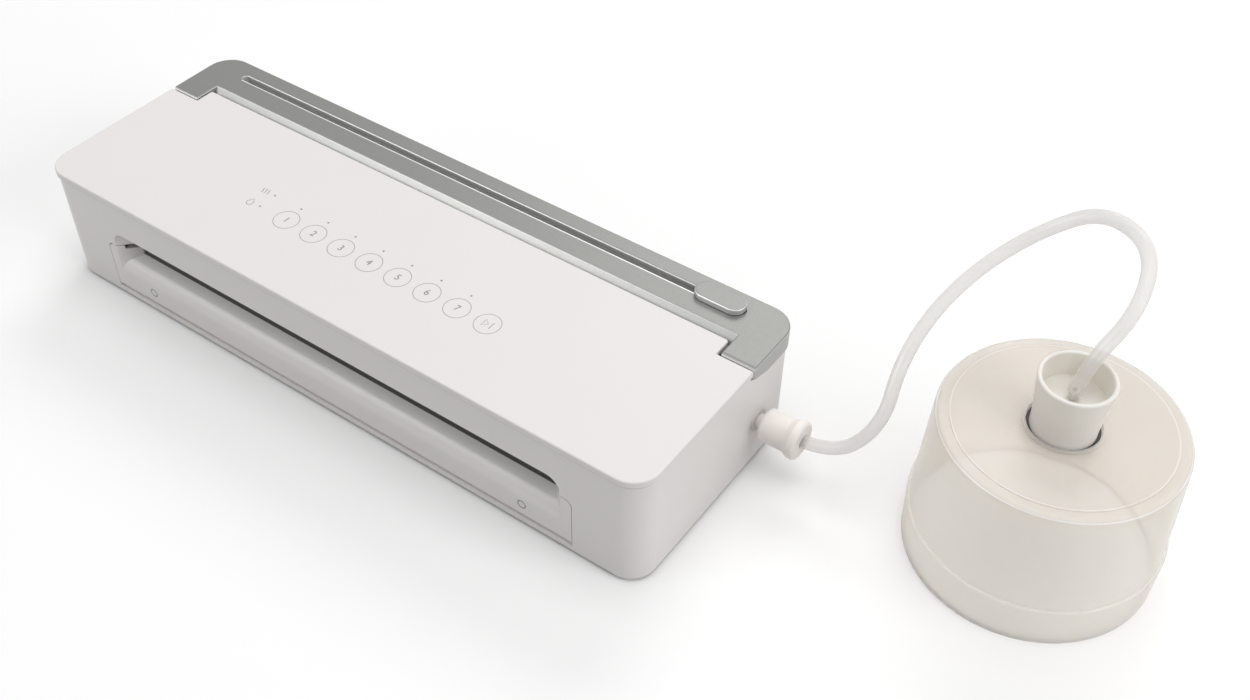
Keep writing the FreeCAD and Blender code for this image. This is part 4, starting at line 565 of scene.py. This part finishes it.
def woven_tape():
    made, tree, shader = start_material("woven_tape")
    weave = tree.nodes.new("ShaderNodeTexChecker")
    weave.inputs["Scale"].default_value = 1600.0
    weave.inputs["Color1"].default_value = (0.20, 0.12, 0.06, 1.0)
    weave.inputs["Color2"].default_value = (0.27, 0.17, 0.09, 1.0)
    tree.links.new(object_place(tree), weave.inputs["Vector"])
    tree.links.new(weave.outputs["Color"], shader.inputs["Base Color"])
    tree.links.new(spread(tree, noise(tree, 300.0), 0.38, 0.52), shader.inputs["Roughness"])
    relief(tree, shader, weave.outputs["Fac"], 0.3, 0.05 * MM)
    return made


def copper():
    made, tree, shader = start_material("copper")
    turns = tree.nodes.new("ShaderNodeTexWave")
    turns.bands_direction = "Z"
    turns.inputs["Scale"].default_value = 420.0
    turns.inputs["Distortion"].default_value = 0.6
    tree.links.new(object_place(tree), turns.inputs["Vector"])
    tones = ramp(tree, turns.outputs["Fac"], (0.22, 0.07, 0.025), (0.50, 0.20, 0.08))
    tree.links.new(tones, shader.inputs["Base Color"])
    relief(tree, shader, turns.outputs["Fac"], 0.6, 0.3 * MM)
    shader.inputs["Metallic"].default_value = 0.8
    shader.inputs["Roughness"].default_value = 0.35
    return made


def board_green():
    made, tree, shader = start_material("board_green")
    tracks = tree.nodes.new("ShaderNodeTexBrick")
    tracks.inputs["Scale"].default_value = 220.0
    tracks.inputs["Mortar Size"].default_value = 0.06
    tracks.inputs["Color1"].default_value = (0.012, 0.085, 0.035, 1.0)
    tracks.inputs["Color2"].default_value = (0.016, 0.10, 0.042, 1.0)
    tracks.inputs["Mortar"].default_value = (0.05, 0.22, 0.09, 1.0)
    tree.links.new(object_place(tree), tracks.inputs["Vector"])
    tree.links.new(tracks.outputs["Color"], shader.inputs["Base Color"])
    relief(tree, shader, tracks.outputs["Fac"], 0.3, 0.04 * MM)
    shader.inputs["Roughness"].default_value = 0.35
    return made


def board_dark():
    return moulded("board_dark", (0.03, 0.03, 0.033), 0.4, vary=0.15, strength=0.2)[0]


def lamp():
    made, _, shader = moulded("lamp", (0.75, 0.75, 0.70), 0.15, grain=600.0, strength=0.05)
    shader.inputs["Transmission Weight"].default_value = 0.5
    return made


# Inks of the printed marks
def grey_ink():
    return moulded("grey_ink", (0.22, 0.22, 0.225), 0.5, vary=0.08, grain=4000.0, strength=0.1)[0]


def pale_ink():
    return moulded("pale_ink", (0.36, 0.36, 0.37), 0.5, vary=0.08, grain=4000.0, strength=0.1)[0]


# Materials of the record's slots
SLOT_MATERIALS = {
    "white_gloss": white_gloss(),
    "white_satin": white_satin(),
    "silver_satin": silver_knob(),
    "dark_plastic": dark_plastic(),
    "white_plastic": white_plastic(),
    "black_rubber": black_rubber(),
    "silicone": silicone(),
    "steel": steel(),
    "heater_metal": heater_metal(),
    "tape": woven_tape(),
    "copper": copper(),
    "board_green": board_green(),
    "board_dark": board_dark(),
    "lamp": lamp(),
    "piston_plastic": piston_plastic(),
    "frosted": frosted(),
}


def paint_nodes():
    for row in frame["record"]["subparts"]:
        paint(nodes[row["node"]], SLOT_MATERIALS[row["material_slot"]])
    mouth = white_with_painted_mouth_shade()
    for name in ("body_shell", "front_flap"):
        paint(nodes[name], mouth)
    paint(nodes["adapter_cup"], cup_white())
    paint(nodes["cutter_lid"], silver_with_painted_slot_light())
    paint(nodes["cutter_rail"], rail_grey_painted_light())
    paint(nodes["cup_seal"], seal_with_painted_sleeve_shade())
    # Painted light: a paler white on the strikes, which sit in deep shade
    paint(nodes["flap_strikes"], painted_light_white())


# Hose
def make_hose():
    data = bpy.data.curves.new("air_hose", "CURVE")
    data.dimensions = "3D"
    data.bevel_depth = HOSE_DIAMETER / 2
    data.bevel_resolution = 8
    data.resolution_u = 16
    data.use_fill_caps = True
    spline = data.splines.new("NURBS")
    spline.points.add(len(HOSE_ROUTE) - 1)
    for point, place in zip(spline.points, HOSE_ROUTE):
        point.co = (*(value * MM for value in place), 1.0)
    spline.order_u = 3
    spline.use_endpoint_u = True
    hose = add_object("air_hose", data)
    paint(hose, clear_hose())
    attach(hose, "housing")
    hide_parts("hose")


# Printed marks, drawn on a plane that lay turns into places
def circle(x, y, radius):
    angles = [2 * math.pi * step / CIRCLE_STEPS for step in range(CIRCLE_STEPS)]
    return [(x + radius * math.cos(angle), y + radius * math.sin(angle)) for angle in angles]


def stroke(mesh, points, width, lay, closed=True):
    count = len(points)
    rows = []
    for index, (x, y) in enumerate(points):
        before = points[index - 1] if closed or index else points[index]
        after = points[(index + 1) % count] if closed or index < count - 1 else points[index]
        heading = Vector((after[0] - before[0], after[1] - before[1])).normalized()
        side = Vector((-heading.y, heading.x)) * width / 2
        rows.append([mesh.verts.new(lay(x + sign * side.x, y + sign * side.y)) for sign in (1, -1)])
    following = rows[1:] + rows[:1] if closed else rows[1:]
    for (a, b), (c, d) in zip(rows, following):
        mesh.faces.new((a, b, d, c))


def filled(mesh, points, lay):
    mesh.faces.new([mesh.verts.new(lay(x, y)) for x, y in points])


def print_piece(name, data, ink, body):
    piece = add_object(name, data)
    paint(piece, ink)
    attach(piece, body)


def print_mesh(name, mesh, ink, body):
    data = bpy.data.meshes.new(name)
    mesh.to_mesh(data)
    mesh.free()
    print_piece(name, data, ink, body)


def print_height():
    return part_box("top_panel")[1].z + PRINT_LIFT


def top_lay():
    height = print_height()
    return lambda x, y: Vector((x, y, height))


def button_places():
    return [BUTTON_FIRST_X + BUTTON_PITCH * index for index in range(BUTTON_COUNT)]


def button_rings(ink):
    lay = top_lay()
    for index, x in enumerate(button_places()):
        mesh = bmesh.new()
        stroke(mesh, circle(x, BUTTON_Y, BUTTON_RADIUS), RING_LINE, lay)
        print_mesh("button_ring_%d" % (index + 1), mesh, ink, "housing")


def lamp_dots(ink):
    lay = top_lay()
    warning_x = BUTTON_FIRST_X - BUTTON_PITCH
    places = [(x, LAMP_Y) for x in button_places()[:-1]] + [(warning_x, LAMP_Y), (warning_x, BUTTON_Y)]
    mesh = bmesh.new()
    for x, y in places:
        filled(mesh, circle(x, y, LAMP_DOT), lay)
    print_mesh("lamp_dots", mesh, ink, "housing")


def button_digits(ink):
    for index, x in enumerate(button_places()[:-1]):
        text = bpy.data.curves.new("digit", "FONT")
        text.body = str(index + 1)
        text.size = DIGIT_HEIGHT
        text.align_x = "CENTER"
        text.align_y = "CENTER"
        shape = add_object("digit", text)
        bpy.context.view_layer.update()
        data = bpy.data.meshes.new_from_object(shape.evaluated_get(bpy.context.evaluated_depsgraph_get()))
        bpy.data.objects.remove(shape)
        data.transform(Matrix.Translation((x, BUTTON_Y, print_height())))
        print_piece("button_digit_%d" % (index + 1), data, ink, "housing")


def start_sign(ink):
    lay = top_lay()
    reach = BUTTON_RADIUS * START_REACH
    x = button_places()[-1]
    low, high = BUTTON_Y - reach, BUTTON_Y + reach
    arrow = [(x - reach, low), (x - reach, high), (x + reach * START_TIP, BUTTON_Y)]
    bar = [(x + reach, low), (x + reach, high)]
    mesh = bmesh.new()
    stroke(mesh, arrow, SIGN_LINE, lay)
    stroke(mesh, bar, SIGN_LINE, lay, closed=False)
    print_mesh("start_sign", mesh, ink, "housing")


def sign_x():
    return BUTTON_FIRST_X - BUTTON_PITCH - SIGN_SHIFT


def drop_sign(ink):
    x, y = sign_x(), BUTTON_Y
    angles = [math.radians(DROP_START + DROP_TURN * step / DROP_STEPS) for step in range(DROP_STEPS + 1)]
    outline = [(x + SIGN_SIZE * DROP_RADIUS * math.cos(angle),
                y + SIGN_SIZE * (DROP_RADIUS * math.sin(angle) - DROP_SINK)) for angle in angles]
    outline.append((x, y + SIGN_SIZE * DROP_TIP))
    mesh = bmesh.new()
    stroke(mesh, outline, SIGN_LINE, top_lay())
    print_mesh("drop_sign", mesh, ink, "housing")


def heat_sign(ink):
    lay = top_lay()
    x, y = sign_x(), LAMP_Y
    shares = [step / HEAT_STEPS for step in range(HEAT_STEPS + 1)]
    mesh = bmesh.new()
    for offset in (-HEAT_SPACING, 0.0, HEAT_SPACING):
        wave = [(x + SIGN_SIZE * (offset + HEAT_SWAY * math.sin(2 * math.pi * share)),
                 y + SIGN_SIZE * (share - 0.5)) for share in shares]
        stroke(mesh, wave, SIGN_LINE, lay, closed=False)
    print_mesh("heat_sign", mesh, ink, "housing")


def flap_marks(ink):
    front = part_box("front_flap")[0].y - PRINT_LIFT
    mesh = bmesh.new()
    for side in (-1, 1):
        stroke(mesh, circle(side * FLAP_MARK_X, FLAP_MARK_Z, FLAP_MARK_RADIUS), FLAP_MARK_LINE,
               lambda x, z: Vector((x, front, z)))
    print_mesh("flap_marks", mesh, ink, "flap")


def print_marks():
    pale, grey = pale_ink(), grey_ink()
    button_rings(pale)
    for marks in (lamp_dots, button_digits, start_sign, drop_sign, heat_sign, flap_marks):
        marks(grey)


# Studio
def seen_directly(tree):
    path = tree.nodes.new("ShaderNodeLightPath")
    most = larger(tree, path.outputs["Is Camera Ray"], path.outputs["Is Glossy Ray"])
    return larger(tree, most, path.outputs["Is Transmission Ray"])


def make_world():
    world = bpy.data.worlds.new("studio")
    world.use_nodes = True
    tree = world.node_tree
    strength = blend_values(tree, seen_directly(tree), WORLD_LIGHT, 1.0)
    tree.links.new(strength, tree.nodes["Background"].inputs["Strength"])
    tree.nodes["Background"].inputs["Color"].default_value = (1.0, 1.0, 1.0, 1.0)
    bpy.context.scene.world = world


def faded_far(tree):
    reach = tree.nodes.new("ShaderNodeVectorMath")
    reach.operation = "LENGTH"
    tree.links.new(object_place(tree), reach.inputs[0])
    far = map_range(tree, reach.outputs["Value"], FLOOR_FADE, 0.0, 1.0)
    path = tree.nodes.new("ShaderNodeLightPath")
    return blend_values(tree, times(tree, far, path.outputs["Is Camera Ray"]), 1.0, 0.0)


def make_floor():
    mesh = bmesh.new()
    corners = [(-1, -1), (1, -1), (1, 1), (-1, 1)]
    mesh.faces.new([mesh.verts.new((x * FLOOR_HALF, y * FLOOR_HALF, 0.0)) for x, y in corners])
    data = bpy.data.meshes.new("floor")
    mesh.to_mesh(data)
    mesh.free()
    floor = add_object("floor", data)
    made, tree, shader = start_material("floor")
    level = blend_values(tree, seen_directly(tree), FLOOR_BOUNCE, FLOOR_SEEN)
    tree.links.new(level, shader.inputs["Base Color"])
    tree.links.new(faded_far(tree), shader.inputs["Alpha"])
    shader.inputs["Roughness"].default_value = 0.9
    shader.inputs["Specular IOR Level"].default_value = 0.0
    paint(floor, made)


def soft_lamp(name, place, target, size, power):
    data = bpy.data.lights.new(name, "AREA")
    data.shape = "RECTANGLE"
    data.size, data.size_y = size
    data.energy = power
    made = add_object(name, data)
    aim = Vector(target) - Vector(place)
    made.matrix_world = Matrix.Translation(place) @ aim.to_track_quat("-Z", "Y").to_matrix().to_4x4()
    return made


# The sheen lamp only shines in reflections
def make_lamps():
    for row in LAMPS:
        soft_lamp(*row)
    soft_lamp(*SHEEN_LAMP).visible_diffuse = False


# Assembly of the scene
make_camera()
make_hose()
paint_nodes()
print_marks()
make_world()
make_floor()
make_lamps()
bpy.context.scene.view_settings.view_transform = "Standard"
